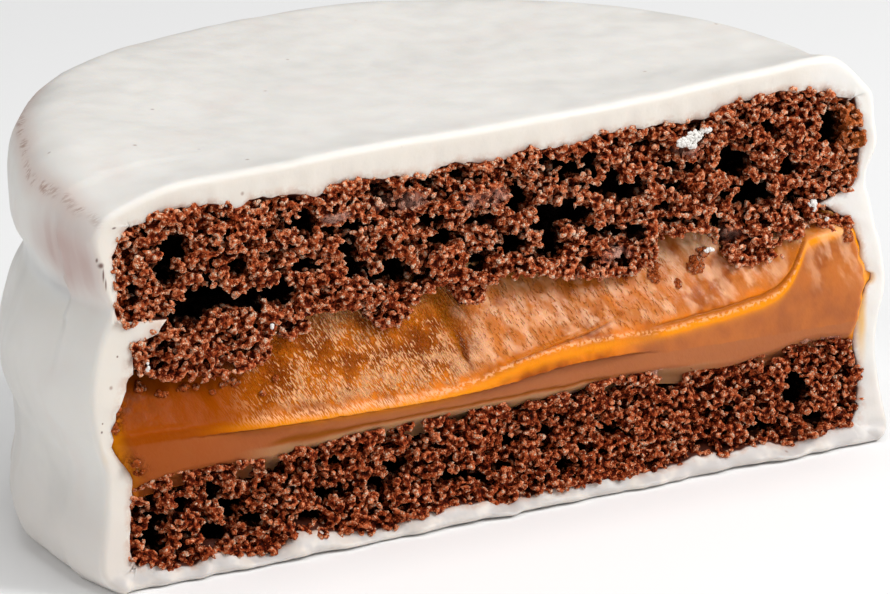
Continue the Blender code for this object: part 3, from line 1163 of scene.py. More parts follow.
NOTCH_HEIGHT = 19.0
NOTCH_TIP = -26.4
NOTCH_SLANT = 0.3
UPPER_HOLES = (
    (-25.4, 23.7, 1.2, 1.1, 4.5), (-26.0, 22.1, 0.7, 0.8, 3.0), (-28.8, 21.5, 0.5, 0.5, 2.0),
    (-24.3, 19.6, 2.3, 1.0, 7.0), (-22.0, 20.1, 1.7, 1.1, 7.0), (-19.6, 19.5, 1.9, 0.8, 6.0),
    (-17.0, 19.4, 1.2, 0.9, 5.0), (-20.4, 21.9, 0.6, 0.7, 3.0), (-14.9, 24.2, 1.0, 0.8, 4.0),
    (-12.0, 23.2, 1.9, 0.3, 3.0), (-17.0, 22.6, 1.9, 0.3, 3.0), (-14.6, 20.9, 0.9, 0.5, 3.0),
    (-11.4, 21.4, 0.6, 0.7, 3.0), (-10.9, 19.9, 1.3, 0.5, 4.0), (-9.6, 25.7, 0.6, 0.4, 2.5),
    (-6.6, 25.7, 0.6, 0.4, 2.5), (-4.7, 25.4, 0.7, 0.4, 2.5), (-2.4, 25.6, 0.6, 0.4, 2.5),
    (-4.8, 22.6, 1.0, 0.5, 3.5), (-4.2, 21.2, 1.5, 0.7, 4.0), (-9.2, 21.3, 0.7, 0.7, 3.0),
    (-0.8, 21.9, 1.5, 0.25, 3.0), (-7.5, 19.4, 1.0, 0.8, 4.0), (-9.1, 19.1, 0.8, 0.6, 3.5),
    (-5.9, 18.4, 0.6, 0.5, 3.0), (2.6, 23.0, 0.8, 0.9, 4.0), (1.2, 19.6, 1.8, 0.5, 4.0),
    (4.7, 21.1, 1.3, 0.8, 4.0), (7.2, 21.0, 1.1, 0.9, 4.0), (4.9, 19.2, 1.0, 0.9, 4.0),
    (6.3, 24.4, 1.0, 1.0, 4.0), (4.9, 25.4, 0.9, 0.5, 3.0), (8.3, 24.8, 0.7, 1.0, 3.5),
    (9.6, 22.9, 1.5, 0.9, 4.5), (11.4, 22.2, 1.3, 0.7, 4.0), (9.0, 19.4, 1.8, 0.4, 4.0),
    (11.6, 18.9, 1.2, 0.5, 4.0), (7.5, 17.4, 1.1, 0.4, 3.0), (-1.0, 18.9, 1.0, 0.5, 3.0),
    (12.5, 25.3, 1.3, 0.3, 3.0), (14.4, 24.6, 0.8, 0.3, 3.0), (16.8, 26.3, 1.6, 0.25, 3.0),
    (15.4, 23.2, 0.6, 0.4, 3.0), (16.9, 22.9, 0.6, 0.5, 3.0), (15.6, 21.6, 1.0, 0.3, 3.0),
    (14.5, 20.4, 0.8, 0.4, 3.0), (15.0, 19.2, 2.0, 0.3, 4.0), (20.3, 22.7, 1.3, 0.9, 4.5),
    (23.6, 24.7, 0.5, 0.7, 3.0), (24.7, 21.6, 0.8, 0.6, 3.5), (28.4, 24.2, 0.8, 1.4, 3.5),
    (28.3, 20.9, 0.6, 0.4, 2.5), (22.0, 20.1, 3.2, 0.8, 6.0), (19.0, 17.9, 0.5, 1.3, 4.0),
    (24.9, 19.4, 1.0, 0.5, 5.0),
)
LOWER_HOLES = (
    (-27.8, 3.4, 1.0, 0.9, 4.0), (-27.2, 4.6, 0.8, 0.6, 3.5), (-28.8, 5.6, 0.5, 0.5, 2.5),
    (-28.1, 6.9, 0.5, 0.6, 2.5), (-26.2, 7.1, 0.7, 0.7, 3.0), (-22.9, 5.8, 0.6, 0.6, 3.0),
    (-21.6, 4.4, 1.1, 0.6, 4.0), (-23.2, 2.9, 1.5, 0.8, 4.0), (-19.9, 3.4, 1.3, 0.3, 3.0),
    (-25.5, 5.5, 0.9, 0.6, 3.0), (-26.0, 2.4, 0.6, 0.5, 3.0), (-20.6, 6.9, 0.8, 0.5, 3.0),
    (-19.2, 5.7, 0.6, 0.35, 3.0), (-17.9, 6.9, 0.5, 0.5, 2.5), (-16.5, 6.9, 0.4, 0.6, 2.5),
    (-15.5, 2.7, 1.4, 0.6, 3.5), (-13.2, 6.4, 0.9, 0.4, 3.0), (-14.8, 5.5, 0.35, 0.6, 2.5),
    (-13.8, 4.0, 1.4, 0.35, 3.0), (-8.5, 5.0, 1.2, 0.5, 3.5), (-9.8, 4.0, 0.8, 0.6, 3.0),
    (-9.0, 7.6, 0.6, 0.4, 2.5), (-6.7, 7.4, 0.7, 0.5, 3.0), (-5.2, 7.4, 0.5, 0.35, 2.5),
    (-3.0, 7.9, 0.8, 0.4, 2.5), (-3.4, 3.5, 1.3, 0.45, 3.0), (-1.4, 2.7, 0.8, 0.35, 3.0),
    (0.3, 3.7, 1.0, 0.35, 3.0), (1.0, 5.3, 0.9, 0.4, 3.0), (1.1, 7.6, 0.7, 0.4, 2.5),
    (4.3, 5.0, 0.5, 0.8, 3.0), (5.5, 2.6, 0.8, 0.5, 3.0), (6.4, 8.0, 0.6, 0.4, 2.5),
    (8.9, 4.6, 1.1, 0.5, 3.5), (9.2, 7.9, 0.6, 0.6, 3.0), (6.9, 3.6, 0.7, 0.35, 3.0),
    (14.3, 7.7, 1.3, 0.9, 3.5), (16.9, 4.7, 0.9, 0.3, 3.0), (20.9, 5.4, 0.8, 0.35, 3.0),
    (22.6, 7.7, 0.7, 0.6, 3.0), (24.9, 5.0, 0.9, 1.1, 4.0), (22.2, 2.5, 1.3, 0.6, 3.5),
    (26.3, 2.6, 0.8, 0.5, 3.0), (28.4, 5.6, 0.6, 0.4, 2.5), (18.9, 4.5, 0.35, 0.6, 2.5),
    (17.0, 2.1, 0.7, 0.4, 2.5),
)
UPPER_TOP = (
    (-31.0, 25.2), (-29.5, 26.0), (-28.5, 26.4), (-25.5, 27.1), (-21.5, 26.8), (-20.6, 26.1),
    (-19.6, 26.8), (-15.2, 26.6), (-14.2, 26.1), (-12.5, 26.8), (-8.0, 26.6), (-5.6, 26.2),
    (-3.0, 26.8), (0.0, 26.3), (3.0, 26.8), (6.5, 26.4), (9.6, 27.0), (13.0, 26.8),
    (18.0, 26.7), (19.6, 27.3), (24.5, 27.5), (27.2, 27.2), (28.6, 26.7), (29.8, 26.0),
    (31.3, 24.6),
)
UPPER_FOOT = (
    (-31.0, 19.2), (-30.2, 18.6), (-29.6, 18.2), (-29.1, 16.6), (-28.0, 15.2), (-24.0, 14.3),
    (-20.0, 14.5),
    (-18.2, 14.9), (-17.9, 17.0), (-16.4, 15.9), (-14.6, 17.3), (-11.0, 17.2), (-8.8, 15.4),
    (-6.6, 16.4), (-4.6, 17.8), (-3.2, 17.3), (-2.0, 15.9), (-0.6, 16.9), (2.2, 17.4),
    (5.0, 17.0), (8.0, 16.3), (11.0, 16.0), (12.8, 16.4), (13.6, 17.9), (17.4, 18.2),
    (18.6, 17.0), (20.0, 15.3), (23.4, 15.0), (25.2, 16.2), (26.6, 17.2), (27.6, 15.8),
    (28.8, 15.9), (29.8, 17.2), (30.2, 18.8), (31.3, 19.4),
)
UPPER_LEFT = (
    (14.0, -28.8), (16.5, -29.2), (18.8, -29.1), (19.05, -27.6), (19.3, -26.4),
    (19.65, -27.8), (20.2, -29.6), (20.6, -30.2), (21.4, -30.4),
    (24.5, -30.4), (26.0, -29.8), (28.0, -28.6),
)
UPPER_RIGHT = (
    (14.0, 29.0), (16.6, 29.8), (17.5, 29.2), (18.2, 28.0), (18.7, 27.2), (19.1, 28.6),
    (19.5, 30.0), (20.6, 30.7), (23.0, 31.1), (24.8, 30.8),
    (26.0, 29.8), (27.0, 28.4), (28.0, 27.4),
)
LOWER_TOP = (
    (-30.5, 6.2), (-29.4, 7.2), (-28.4, 7.9), (-25.0, 8.3), (-22.0, 8.0), (-20.0, 7.8),
    (-19.1, 7.6), (-18.6, 6.4), (-18.2, 6.8), (-17.6, 8.1), (-16.4, 8.2), (-15.2, 7.6),
    (-13.5, 8.2), (-10.0, 8.2),
    (-4.0, 8.4), (0.0, 8.4), (3.0, 8.0), (6.0, 8.4), (9.0, 8.6), (13.0, 8.8), (15.4, 8.7),
    (16.6, 7.9), (17.6, 8.0), (19.0, 8.3), (21.0, 8.1), (22.5, 8.5), (25.0, 8.9),
    (27.0, 9.1), (29.0, 8.2), (30.6, 6.6),
)
LOWER_FOOT = (
    (-30.5, 3.0), (-29.3, 1.9), (-28.0, 1.5), (-26.6, 0.9), (-25.0, 0.8), (-23.4, 1.4),
    (-21.0, 0.9), (-18.4, 0.7), (-16.6, 1.7), (-14.4, 1.2), (-12.0, 0.9), (-10.0, 0.7),
    (-8.0, 1.0), (-5.8, 1.2), (-2.0, 1.1), (1.0, 0.8), (4.0, 1.1), (8.0, 1.1), (14.0, 0.9),
    (16.2, 1.3), (19.0, 1.1), (22.0, 1.2), (24.2, 0.7), (26.2, 1.3), (29.0, 1.5), (30.6, 3.2),
)
LOWER_LEFT = ((0.0, -29.0), (1.6, -29.8), (3.0, -30.3), (6.0, -30.1), (8.0, -29.2), (9.6, -28.6))
LOWER_RIGHT = ((0.0, 29.0), (2.0, 30.0), (4.0, 30.5), (6.0, 30.2), (8.0, 29.6), (9.6, 29.0))


# --------------------------------------------------------------------------- icing


@dataclass
class IcingCoat:
    """The coat of icing: an uneven half round with a soft rim round its open cut face."""

    side: Sequence[Point] = (
        (0.0, 31.5), (1.1, 32.6), (3.0, 32.9), (8.2, 32.25), (13.8, 33.0), (17.4, 32.45),
        (20.4, 31.4), (22.4, 31.9), (24.6, 32.15),
    )
    inner_left: Sequence[Point] = (
        (0.5, -28.6), (1.6, -29.5), (3.0, -30.0), (7.4, -29.7), (8.6, -29.8), (10.0, -30.8),
        (11.4, -31.1), (13.0, -30.6), (14.5, -29.9), (16.4, -29.2), (18.7, -29.1),
        (19.0, -27.5), (19.3, -26.2), (19.6, -27.7), (20.2, -29.5), (20.6, -30.1),
        (21.4, -30.3), (24.4, -30.3), (25.4, -29.8), (26.2, -29.0), (26.8, -27.8),
    )
    inner_right: Sequence[Point] = (
        (0.5, 28.8), (1.6, 29.4), (3.0, 30.1), (7.4, 29.9), (8.6, 29.9), (10.0, 30.3),
        (11.7, 30.8), (12.4, 31.5), (13.3, 30.7), (15.0, 30.3), (16.6, 29.9), (17.5, 29.2),
        (18.2, 28.0), (18.7, 27.2), (19.1, 28.6), (19.5, 29.9), (20.6, 30.5), (23.0, 30.9),
        (25.0, 30.6), (26.0, 30.1), (26.6, 29.3), (26.9, 28.2),
    )
    right_push: Sequence[Point] = (
        (0.0, 0.4), (1.2, 0.0), (2.5, -0.5), (5.0, -0.55), (7.5, -0.2), (10.0, -0.1),
        (13.5, -0.24), (17.5, -0.16), (20.0, -0.05), (22.5, 0.56), (25.0, 0.4), (28.0, 0.6),
    )
    left_push: Sequence[Point] = (
        (0.0, -0.6), (1.8, -0.3), (3.3, 0.0), (6.0, -0.16), (10.8, -0.1), (13.3, 0.0),
        (15.8, -0.2),
        (18.3, -0.45), (20.8, -0.85), (23.3, -0.35), (25.8, -0.35), (28.3, 0.0),
    )
    least_radius: float = 30.85
    shoulder_from: float = 25.2
    shoulder_width: float = 4.2
    hub_behind: float = 8.0
    columns_front: int = 150
    columns_round: int = 230
    rows_side: int = 62
    rows_shoulder: int = 14
    rim: float = 0.55
    inner_rim: float = 0.7
    flange: float = 0.75
    inner_fall: float = 1.3
    pocket_rows: int = 14
    pocket_reach: float = 30.3
    pocket_share: float = 0.98

    def half_profile(self) -> list[Point]:
        """Draw the outer side from the foot to the top.

        Returns:
            Its points, each a height and a radius.
        """
        step = self.shoulder_from / self.rows_side
        side = [(i * step, curve_through(self.side, i * step)) for i in range(self.rows_side + 1)]
        edge = side[-1][1]
        rise = ROUND.height - self.shoulder_from
        for i in range(1, self.rows_shoulder + 1):
            turn = 0.5 * math.pi * i / self.rows_shoulder
            side.append((self.shoulder_from + rise * math.sin(turn),
                         edge - self.shoulder_width * (1.0 - math.cos(turn))))
        return side

    def shares(self) -> list[float]:
        """Size the rings that step in over the top and the foot, less and less close.

        Returns:
            The size of each ring as a share of the side's, from the widest in.
        """
        shares = [1.0]
        step = 0.012
        while shares[-1] - step > 0.06:
            shares.append(shares[-1] - step)
            step = min(step * 1.09, 0.045)
        return shares[1:]

    def ring_place(self, turn: float, radius: float) -> Point:
        """Find a place on the D-shaped outline of one height.

        Args:
            turn: How far round the outline, from 0 at the right end of the cut.
            radius: The round's radius at that height.

        Returns:
            The place's X and Y.
        """
        cut = ROUND.cut + self.rim
        tip = math.asin(cut / radius)
        front = self.columns_front / (self.columns_front + self.columns_round)
        if turn < 1.0 - front:
            angle = tip + (math.pi - 2.0 * tip) * turn / (1.0 - front)
            return radius * math.cos(angle), radius * math.sin(angle)
        reach = radius * math.cos(tip)
        return reach * (2.0 * (turn - 1.0 + front) / front - 1.0), cut

    def spool(self, rows: int) -> bmesh.types.BMesh:
        """Spin a plain spool, one unit high for each row, that is then shaped.

        Args:
            rows: How many rows it has, with a single point at each end.

        Returns:
            The spool, as a working shape.
        """
        shape = bmesh.new()
        line = [shape.verts.new((1.0 if 0 < i < rows - 1 else 0.0, 0.0, float(i)))
                for i in range(rows)]
        edges = [shape.edges.new(pair) for pair in zip(line, line[1:])]
        bmesh.ops.spin(shape, geom=line + edges, cent=(0, 0, 0), axis=(0, 0, 1), dvec=(0, 0, 0),
                       angle=2.0 * math.pi, steps=self.columns_front + self.columns_round,
                       use_merge=True, use_duplicate=False)
        bmesh.ops.remove_doubles(shape, verts=shape.verts, dist=0.0001)
        return shape

    def outer(self) -> bmesh.types.BMesh:
        """Shape the outer skin, open at the cut face.

        Returns:
            The skin, as a working shape.
        """
        side = self.half_profile()
        shares = self.shares()
        caps = len(shares) + 1
        rows = len(side) + 2 * caps
        shape = self.spool(rows)
        columns = self.columns_front + self.columns_round
        front_from = self.columns_round / columns
        hub = ROUND.cut + self.hub_behind + 5.0
        walls = []
        for vert in shape.verts:
            row = round(vert.co.z)
            turn = (math.atan2(vert.co.y, vert.co.x) / (2.0 * math.pi)) % 1.0
            turn = (round(turn * columns) % columns) / columns
            share = 1.0
            if row < caps:
                z, radius = side[0]
                share = ([0.0] + shares[::-1])[row]
            elif row >= caps + len(side):
                z, radius = side[-1]
                share = (shares + [0.0])[row - caps - len(side)]
            else:
                z, radius = side[row - caps]
            x, y = self.ring_place(turn, radius)
            vert.co = (x * share, hub + (y - hub) * share, z)
            if turn > front_from + 0.5 / columns and caps < row < caps + len(side) - 1:
                walls.append(vert)
        bmesh.ops.delete(shape, geom=walls, context="VERTS")
        bmesh.ops.recalc_face_normals(shape, faces=shape.faces)
        return shape

    def unevenness(self, place: Vector) -> Vector:
        """Move a place on the coat, to make it uneven as icing that ran and set.

        Args:
            place: The place on the even coat.

        Returns:
            The move.
        """
        x, y, z = place
        radius = math.hypot(x, y)
        angle = math.atan2(y, x)
        move = Vector((0.0, 0.0, 0.0))
        sideways = past(radius, 20.0, 10.0)
        if radius > 1.0:
            lobes = math.sin(3.0 * angle + 0.6) + 0.6 * math.sin(5.0 * angle + 2.1 + 0.09 * z)
            waist = bell(z, 20.4, 1.6) * math.sin(2.0 * angle + 0.4)
            push = 0.132 * lobes - 0.15 * waist
            left_side = bell(angle, math.pi, 0.9) + bell(angle, -math.pi, 0.9)
            push += curve_through(self.right_push, z) * bell(angle, -0.12, 0.5)
            push += curve_through(self.left_push, z) * bell(angle, 2.7, 0.8)
            push -= 0.6 * bell(angle, 0.25, 0.3) * past(z, 24.5, 3.5)
            fold = 0.16 * bell(z, 20.7 - 0.05 * (y + 5.0), 0.55)
            fold += 0.22 * bell(z, 8.4 + 0.09 * (y + 5.0), 0.6) * past(y, -4.0, 6.0)
            push -= fold * left_side
            lump = noise.noise(Vector((x, y, z * 1.3)) * 0.16) * 0.42
            lump += noise.noise(Vector((x, y, z)) * 0.45) * 0.09
            out = (push + lump) * sideways
            if radius > self.least_radius:
                spare = radius + out - self.least_radius
                out += 0.2 * math.log(1.0 + math.exp(-abs(spare) / 0.2)) + max(-spare, 0.0)
            move += Vector((x, y, 0.0)) / radius * out
        flat = past(z, 26.0, 2.5)
        wave = 0.12 * math.sin(0.17 * x + 0.5) * math.cos(0.21 * y - 0.4)
        wave += 0.16 * noise.noise(Vector((x, y, 5.0)) * 0.11)
        wave += 0.035 * noise.noise(Vector((x, y, 9.0)) * 0.5)
        corner = 0.55 * bell(x, 27.5, 4.0) * bell(y, ROUND.cut, 4.5)
        corner -= past(x, 27.5, 3.5) * bell(y, ROUND.cut, 6.0)
        corner += 0.65 * bell(angle, 2.5, 0.5) * past(radius, 16.0, 12.0)
        move.z -= 0.75 * bell(x, -29.2, 2.6) * bell(y, ROUND.cut, 8.0) * past(z, 24.5, 2.5)
        corner -= 0.3 * bell(angle, 0.0, 0.16) * past(radius, 12.0, 14.0)
        corner -= 0.18 * past(y, 6.0, 10.0)
        crest = 0.35 * bell(x, 21.0, 7.0) * bell(y, ROUND.cut, 5.0)
        lip = 0.16 * bell(y, ROUND.cut + 0.6, 1.5)
        move.z += (wave + corner + crest + lip) * flat + ROUND.rise(y, z)
        return move

    def foot_lift(self, x: float, y: float, z: float) -> float:
        """How far the thin foot stands off the floor near the cut.

        Args:
            x: Place across.
            y: Place from front to back.
            z: Height.

        Returns:
            The lift.
        """
        lift = sum(high * bell(x, middle, wide) for middle, wide, high in (
            (-16.0, 2.4, 0.08), (-2.6, 2.6, 0.10), (3.2, 2.2, 0.08), (19.5, 2.6, 0.10)))
        near = short_of(y, ROUND.cut, 4.5)
        return lift * near * (1.0 - ease(z / 1.2))

    def inner_place(self, x: float, z: float) -> Point:
        """Find where the layers begin, straight in from a place on the coat's outline.

        Args:
            x: Its place across.
            z: Its height.

        Returns:
            The inner place's X and height.
        """
        top = curve_through(UPPER_TOP, clamp(x, -28.5, 29.5)) - 0.12
        foot = curve_through(LOWER_FOOT, clamp(x, -28.5, 29.0)) + 0.15
        height = clamp(z, foot, top)
        slant = NOTCH_SLANT * short_of(abs(height - NOTCH_HEIGHT), 0.8, 1.7)
        left = NOTCH_TIP
        for _ in range(6):
            left = curve_through(self.inner_left, height + slant * (NOTCH_TIP - left))
        right = curve_through(self.inner_right, height)
        ragged = 0.32 * noise.noise(Vector((x * 1.1, 1.0, z * 1.1)))
        return clamp(x, left + ragged, right - ragged), height - ragged

    def build(self, finish: bpy.types.Material) -> bpy.types.Object:
        """Make the whole coat.

        Args:
            finish: Its material.

        Returns:
            The coat.
        """
        shape = self.outer()
        rim_edges = [edge for edge in shape.edges if edge.is_boundary]
        outer = shape.verts.layers.float_vector.new("outer")
        inner = shape.verts.layers.float_vector.new("inner")
        for vert in shape.verts:
            x, y, z = vert.co
            vert.co += self.unevenness(vert.co)
            vert.co.z += self.foot_lift(x, y, z)
        for vert in {vert for edge in rim_edges for vert in edge.verts}:
            x, _, z = vert.co
            inner_x, inner_z = self.inner_place(x, z)
            vert[outer] = vert.co
            vert[inner] = (inner_x, ROUND.cut, inner_z)
        quarter = [0.5 * math.pi * step / 5.0 for step in range(1, 6)]
        rows = [(1.0 - math.cos(turn), 1.0 - math.sin(turn), "rim") for turn in quarter]
        rows += [(share, 0.0, "band") for share in (0.2, 0.4, 0.6, 0.8, 1.0)]
        rows += [(step / 5.0, step / 5.0, "inner") for step in range(1, 6)]
        # The stain mark: crumb stain over the band, full on the inner zone painted near black.
        stain_and_shade = shape.verts.layers.float.new("stain_and_shade")
        cut = shape.verts.layers.float.new("cut")
        ring = rim_edges
        for across, back, zone in rows:
            ring = self.extruded(shape, ring)
            for vert in {vert for edge in ring for vert in edge.verts}:
                vert[stain_and_shade] = {"rim": 0.0, "band": 0.7 * past(across, 0.55, 0.45),
                               "inner": 1.0}[zone]
                vert[cut] = across if zone == "rim" else 1.0
                self.place_rim(vert, vert[outer], vert[inner], across, back, zone)
        reach = self.pocket_reach
        start = math.asin((ROUND.cut + self.inner_fall) / reach)
        sweep = (0.5 * math.pi - start) * self.pocket_share
        for row in range(1, self.pocket_rows + 1):
            ring = self.extruded(shape, ring)
            turn = 0.5 * math.pi * row / self.pocket_rows
            y = reach * math.sin(start + sweep * row / self.pocket_rows)
            width = math.sqrt(max(reach**2 - y**2, 0.0)) / math.sqrt(reach**2 - ROUND.cut**2)
            for vert in {vert for edge in ring for vert in edge.verts}:
                target = vert[inner]
                vert.co = (target.x * width, y, target.z + ROUND.rise(y, target.z) * ease(turn))
        bmesh.ops.remove_doubles(shape, verts=shape.verts, dist=0.0005)
        bmesh.ops.holes_fill(shape, edges=[edge for edge in shape.edges if edge.is_boundary])
        bmesh.ops.recalc_face_normals(shape, faces=shape.faces)
        return piece_from("icing_coat", mesh_of(shape, "coat"), finish,
                          "white_icing")

    def extruded(self, shape: bmesh.types.BMesh, ring: list) -> list:
        """Grow one more row from a loop of edges.

        Args:
            shape: The working shape.
            ring: The loop.

        Returns:
            The new row's far loop.
        """
        grown = bmesh.ops.extrude_edge_only(shape, edges=ring)
        return [item for item in grown["geom"]
                if isinstance(item, bmesh.types.BMEdge) and item.is_boundary]

    def place_rim(self, vert: bmesh.types.BMVert, outer: Vector, inner: Vector, across: float,
                  back: float, zone: str) -> None:
        """Set a vertex down on the rim, which rounds over from the skin to the cut face.

        Args:
            vert: The vertex.
            outer: Its place on the skin.
            inner: Its place at the layers.
            across: How far over the zone it lies.
            back: How far behind the cut plane it lies, as a share of the zone's rounding.
            zone: "rim" for the outer rounding, "band" for the flat and "inner" past it.
        """
        inwards = Vector((inner.x - outer.x, 0.0, inner.z - outer.z))
        length = max(inwards.length, 0.01)
        inwards /= length
        rim = min(self.rim, 0.42 * length)
        wave = noise.noise(Vector((outer.x, 2.0, outer.z)) * 0.7)
        flange = self.flange * short_of(outer.z, 0.2, 1.3) * (0.75 + 0.7 * wave)
        if zone == "rim":
            place = outer + inwards * rim * across
            place.y = ROUND.cut + self.rim * back - flange * (1.0 - back)
        elif zone == "band":
            place = outer + inwards * (rim + (length - rim) * across)
            dip = 0.22 * across * (0.6 + wave)
            scrape = noise.noise(Vector((outer.x * 1.6, across * 1.1, outer.z * 1.6)))
            place.y = ROUND.cut + dip + 0.07 * scrape - flange * (1.0 - across)
        else:
            place = outer + inwards * (length + self.inner_rim * across)
            place.y = ROUND.cut + 0.22 * (0.6 + wave) + self.inner_fall * back
        vert.co = place


# --------------------------------------------------------------------------- caramel


@dataclass
class CaramelFilling:
    """The filling's pulled face, with its lip, ridges and scored slope, and its body behind."""

    left: Sequence[Point] = (
        (7.0, -29.5), (8.5, -30.0), (10.0, -30.9), (11.4, -31.3), (12.6, -31.1), (14.0, -30.4),
        (16.0, -29.8), (19.0, -29.0),
    )
    right: Sequence[Point] = (
        (7.0, 29.7), (8.5, 30.1), (10.0, 30.6), (11.8, 31.1), (13.1, 31.1),
        (15.0, 30.6), (16.6, 29.9), (17.6, 28.5), (19.0, 26.9),
    )
    ridge: Sequence[Point] = (
        (-32.0, 11.6), (-28.0, 11.5), (-24.0, 11.2), (-20.0, 10.9), (-14.0, 10.5), (-8.0, 10.3),
        (-4.0, 10.35), (-2.0, 10.6), (0.0, 11.1), (2.5, 11.55), (5.5, 11.8), (8.0, 11.85),
        (10.0, 11.8), (12.5, 11.8), (16.0, 12.0), (20.0, 12.35), (22.5, 12.8), (24.0, 13.7),
        (24.8, 15.0), (25.6, 16.4), (32.0, 17.0),
    )
    under: Sequence[Point] = (
        (-32.0, 10.9), (-26.0, 10.6), (-20.0, 10.2), (-12.0, 9.9), (-5.0, 9.75), (0.0, 9.9),
        (5.0, 10.4), (10.0, 10.4), (14.0, 10.1), (32.0, 9.6),
    )
    drip: float = 0.9
    sunk_below: float = 1.5
    hidden_above: float = 1.6
    tail: Sequence[Point] = ((-1.0, 11.3), (2.5, 11.95), (5.0, 12.35), (7.5, 12.7), (10.0, 13.3))
    # Of these, glow is painted light, the lip's dots painted highlight, line painted shade.
    marks: Sequence[str] = ("glow", "dull", "scored", "cream", "nicked", "crusted", "line",
                            "groove", "beige", "painted_lip_highlight", "bruised", "seam")
    columns: int = 560
    rows: int = 150
    back: float = 3.6

    def edges(self, z: float) -> tuple[float, float]:
        """Find the ends of the face at a height, a little ragged.

        Args:
            z: The height.

        Returns:
            The left end and the right end.
        """
        left = curve_through(self.left, z) + 0.22 * noise.noise(Vector((z * 1.1, 0.0, 0.0)))
        right = curve_through(self.right, z) + 0.22 * noise.noise(Vector((z * 1.1, 7.0, 0.0)))
        return left, right

    def foot(self, x: float) -> float:
        """Height at which the face ends, just under the lower biscuit's top."""
        return self.smooth(LOWER_TOP, x) - self.sunk_below

    def head(self, x: float) -> float:
        """Height at which the face ends, behind the upper biscuit's foot."""
        return self.smooth(UPPER_FOOT, x) + self.hidden_above

    def smooth(self, line: Sequence[Point], x: float) -> float:
        """Read a biscuit's edge, evened out over a few millimetres.

        Args:
            line: The edge.
            x: The place across.

        Returns:
            Its height.
        """
        reach = (-2.0, -1.0, 0.0, 1.0, 2.0)
        heights = [curve_through(line, clamp(x + step, -28.6, 29.0)) for step in reach]
        return sum(heights) / len(reach)

    def surface(self, x: float, z: float) -> tuple[float, dict[str, float]]:
        """Find how far behind the cut plane the face lies, and how it looks there.

        Args:
            x: Place across.
            z: Height.

        Returns:
            The depth, and the strength of each mark.
        """
        ridge = curve_through(self.ridge, x) + 0.07 * noise.noise(Vector((x * 0.9, 0.0, 4.0)))
        under = curve_through(self.under, x) + 0.09 * noise.noise(Vector((x * 1.3, 4.0, 0.0)))
        above = z - ridge
        step = past(x, -27.0, 8.0) * short_of(x, 9.0, 5.0)
        steep = 0.33 + 0.45 * short_of(x, -28.0, 9.0)
        slope = -0.5 + steep * above + 0.03 * above * above * past(x, -2.0, 6.0)
        lip = -0.74 + 0.16 * ease((z - under) / 0.9)
        band = -0.14 + 0.25 * ease((9.6 - z) / 2.2) - 0.45 * (1.0 - step)
        face = band + (lip - band) * past(z - under, -0.1, 0.2) * step
        blend = past(above, -0.35, 0.7)
        depth = face + (slope - face) * blend
        ridge_line = bell(above, 0.22, 0.1) * past(x, 12.0, 2.0) * short_of(x, 25.0, 1.0)
        under_line = bell(z, under - 0.05, 0.065) * step
        wander = 0.15 * noise.noise(Vector((x * 0.5, 1.0, 1.0)))
        feather = 0.35 * noise.noise(Vector((x * 1.6 - z * 3.2, z * 1.5, 6.0)))
        foot_wide = 0.10 + 0.22 * bell(x, -15.6, 2.7) + 0.14 * feather
        foot_line = bell(z, 8.82 + wander, max(foot_wide, 0.05))
        foot_line *= past(x, -19.5, 2.0) * short_of(x, 6.0, 6.0)
        beige = (1.0 - ease((z - 8.5 - wander) / 0.3)) * past(x, -22.0, 5.0)
        beige *= short_of(x, 12.0, 8.0)
        tail_height = curve_through(self.tail, x)
        tail_reach = past(x, -0.5, 2.0) * short_of(x, 8.6, 1.4)
        tail = bell(z, tail_height, 0.15) * tail_reach
        tail_shade = bell(z, tail_height - 0.26, 0.10) * tail_reach
        lean = x + 3.2 + 0.30 * (z - 14.0)
        fold = bell(lean, 0.0, 0.13 + 0.17 * max(z - 12.0, 0.0)) * past(z, 11.6, 0.8)
        crease = bell(lean, 0.1 + 0.17 * max(z - 12.0, 0.0), 0.1) * short_of(z, 13.2, 2.0)
        crease *= past(z, 11.2, 0.5)
        bubble = ease(1.25 - math.hypot((x - 0.4) / 0.75, (z - 16.15) / 0.38))
        soaked = past(z, 15.1, 0.6) * past(x, 1.5, 1.5) * short_of(x, 10.5, 1.5)
        soaked *= clamp(0.35 + 1.3 * noise.noise(Vector((x * 0.9, z * 1.5, 2.0))))
        swell = 0.10 * noise.noise(Vector((x * 0.35, z * 0.5, 3.0)))
        ripple = noise.noise(Vector((x * 1.5 + z * 0.85, z * 0.5, 1.0)))
        depth += 0.17 * ridge_line + 0.12 * under_line + 0.10 * foot_line + 0.42 * fold
        depth += 0.10 * tail_shade - 0.16 * tail
        depth += (swell + 0.06 * ripple) * past(above, 0.2, 1.5)
        depth += 2.4 * past(z, 16.2, 2.4) * past(x, 22.0, 4.0)
        depth += 1.3 * short_of(z - self.foot(x), 0.5, 1.3)
        left, right = self.edges(z)
        border = max(1.0 - ease((x - left) / 1.3), 1.0 - ease((right - x) / 1.2))
        depth += (0.35 - depth) * border
        # The lip's crest, which takes the painted glow.
        crest = bell(above, -0.45, 0.42) * past(x, -26.0, 10.0)
        crest *= 1.0 - 0.45 * past(x, 8.0, 3.0)
        crest += 0.8 * bell(above, -0.35, 0.28) * past(x, 12.0, 2.0)
        seam = bell(above, 0.16, 0.17) * past(x, 11.5, 1.5) * short_of(x, 25.2, 0.8)
        dull = max(short_of(z - under, -0.15, 0.25), 0.75 * (1.0 - blend) * past(x, 8.0, 5.0))
        on_slope = ease((above - 0.25 - 0.5 * ripple) / 0.7)
        scored = on_slope * past(x, -23.0, 7.0) * short_of(x, -5.0, 5.0)
        open_slope = on_slope * ease((x + 4.5 + 0.6 * ripple) / 2.5)
        right_face = (1.0 - blend) * past(x, 24.0, 3.0) * past(z, 11.5, 3.0)
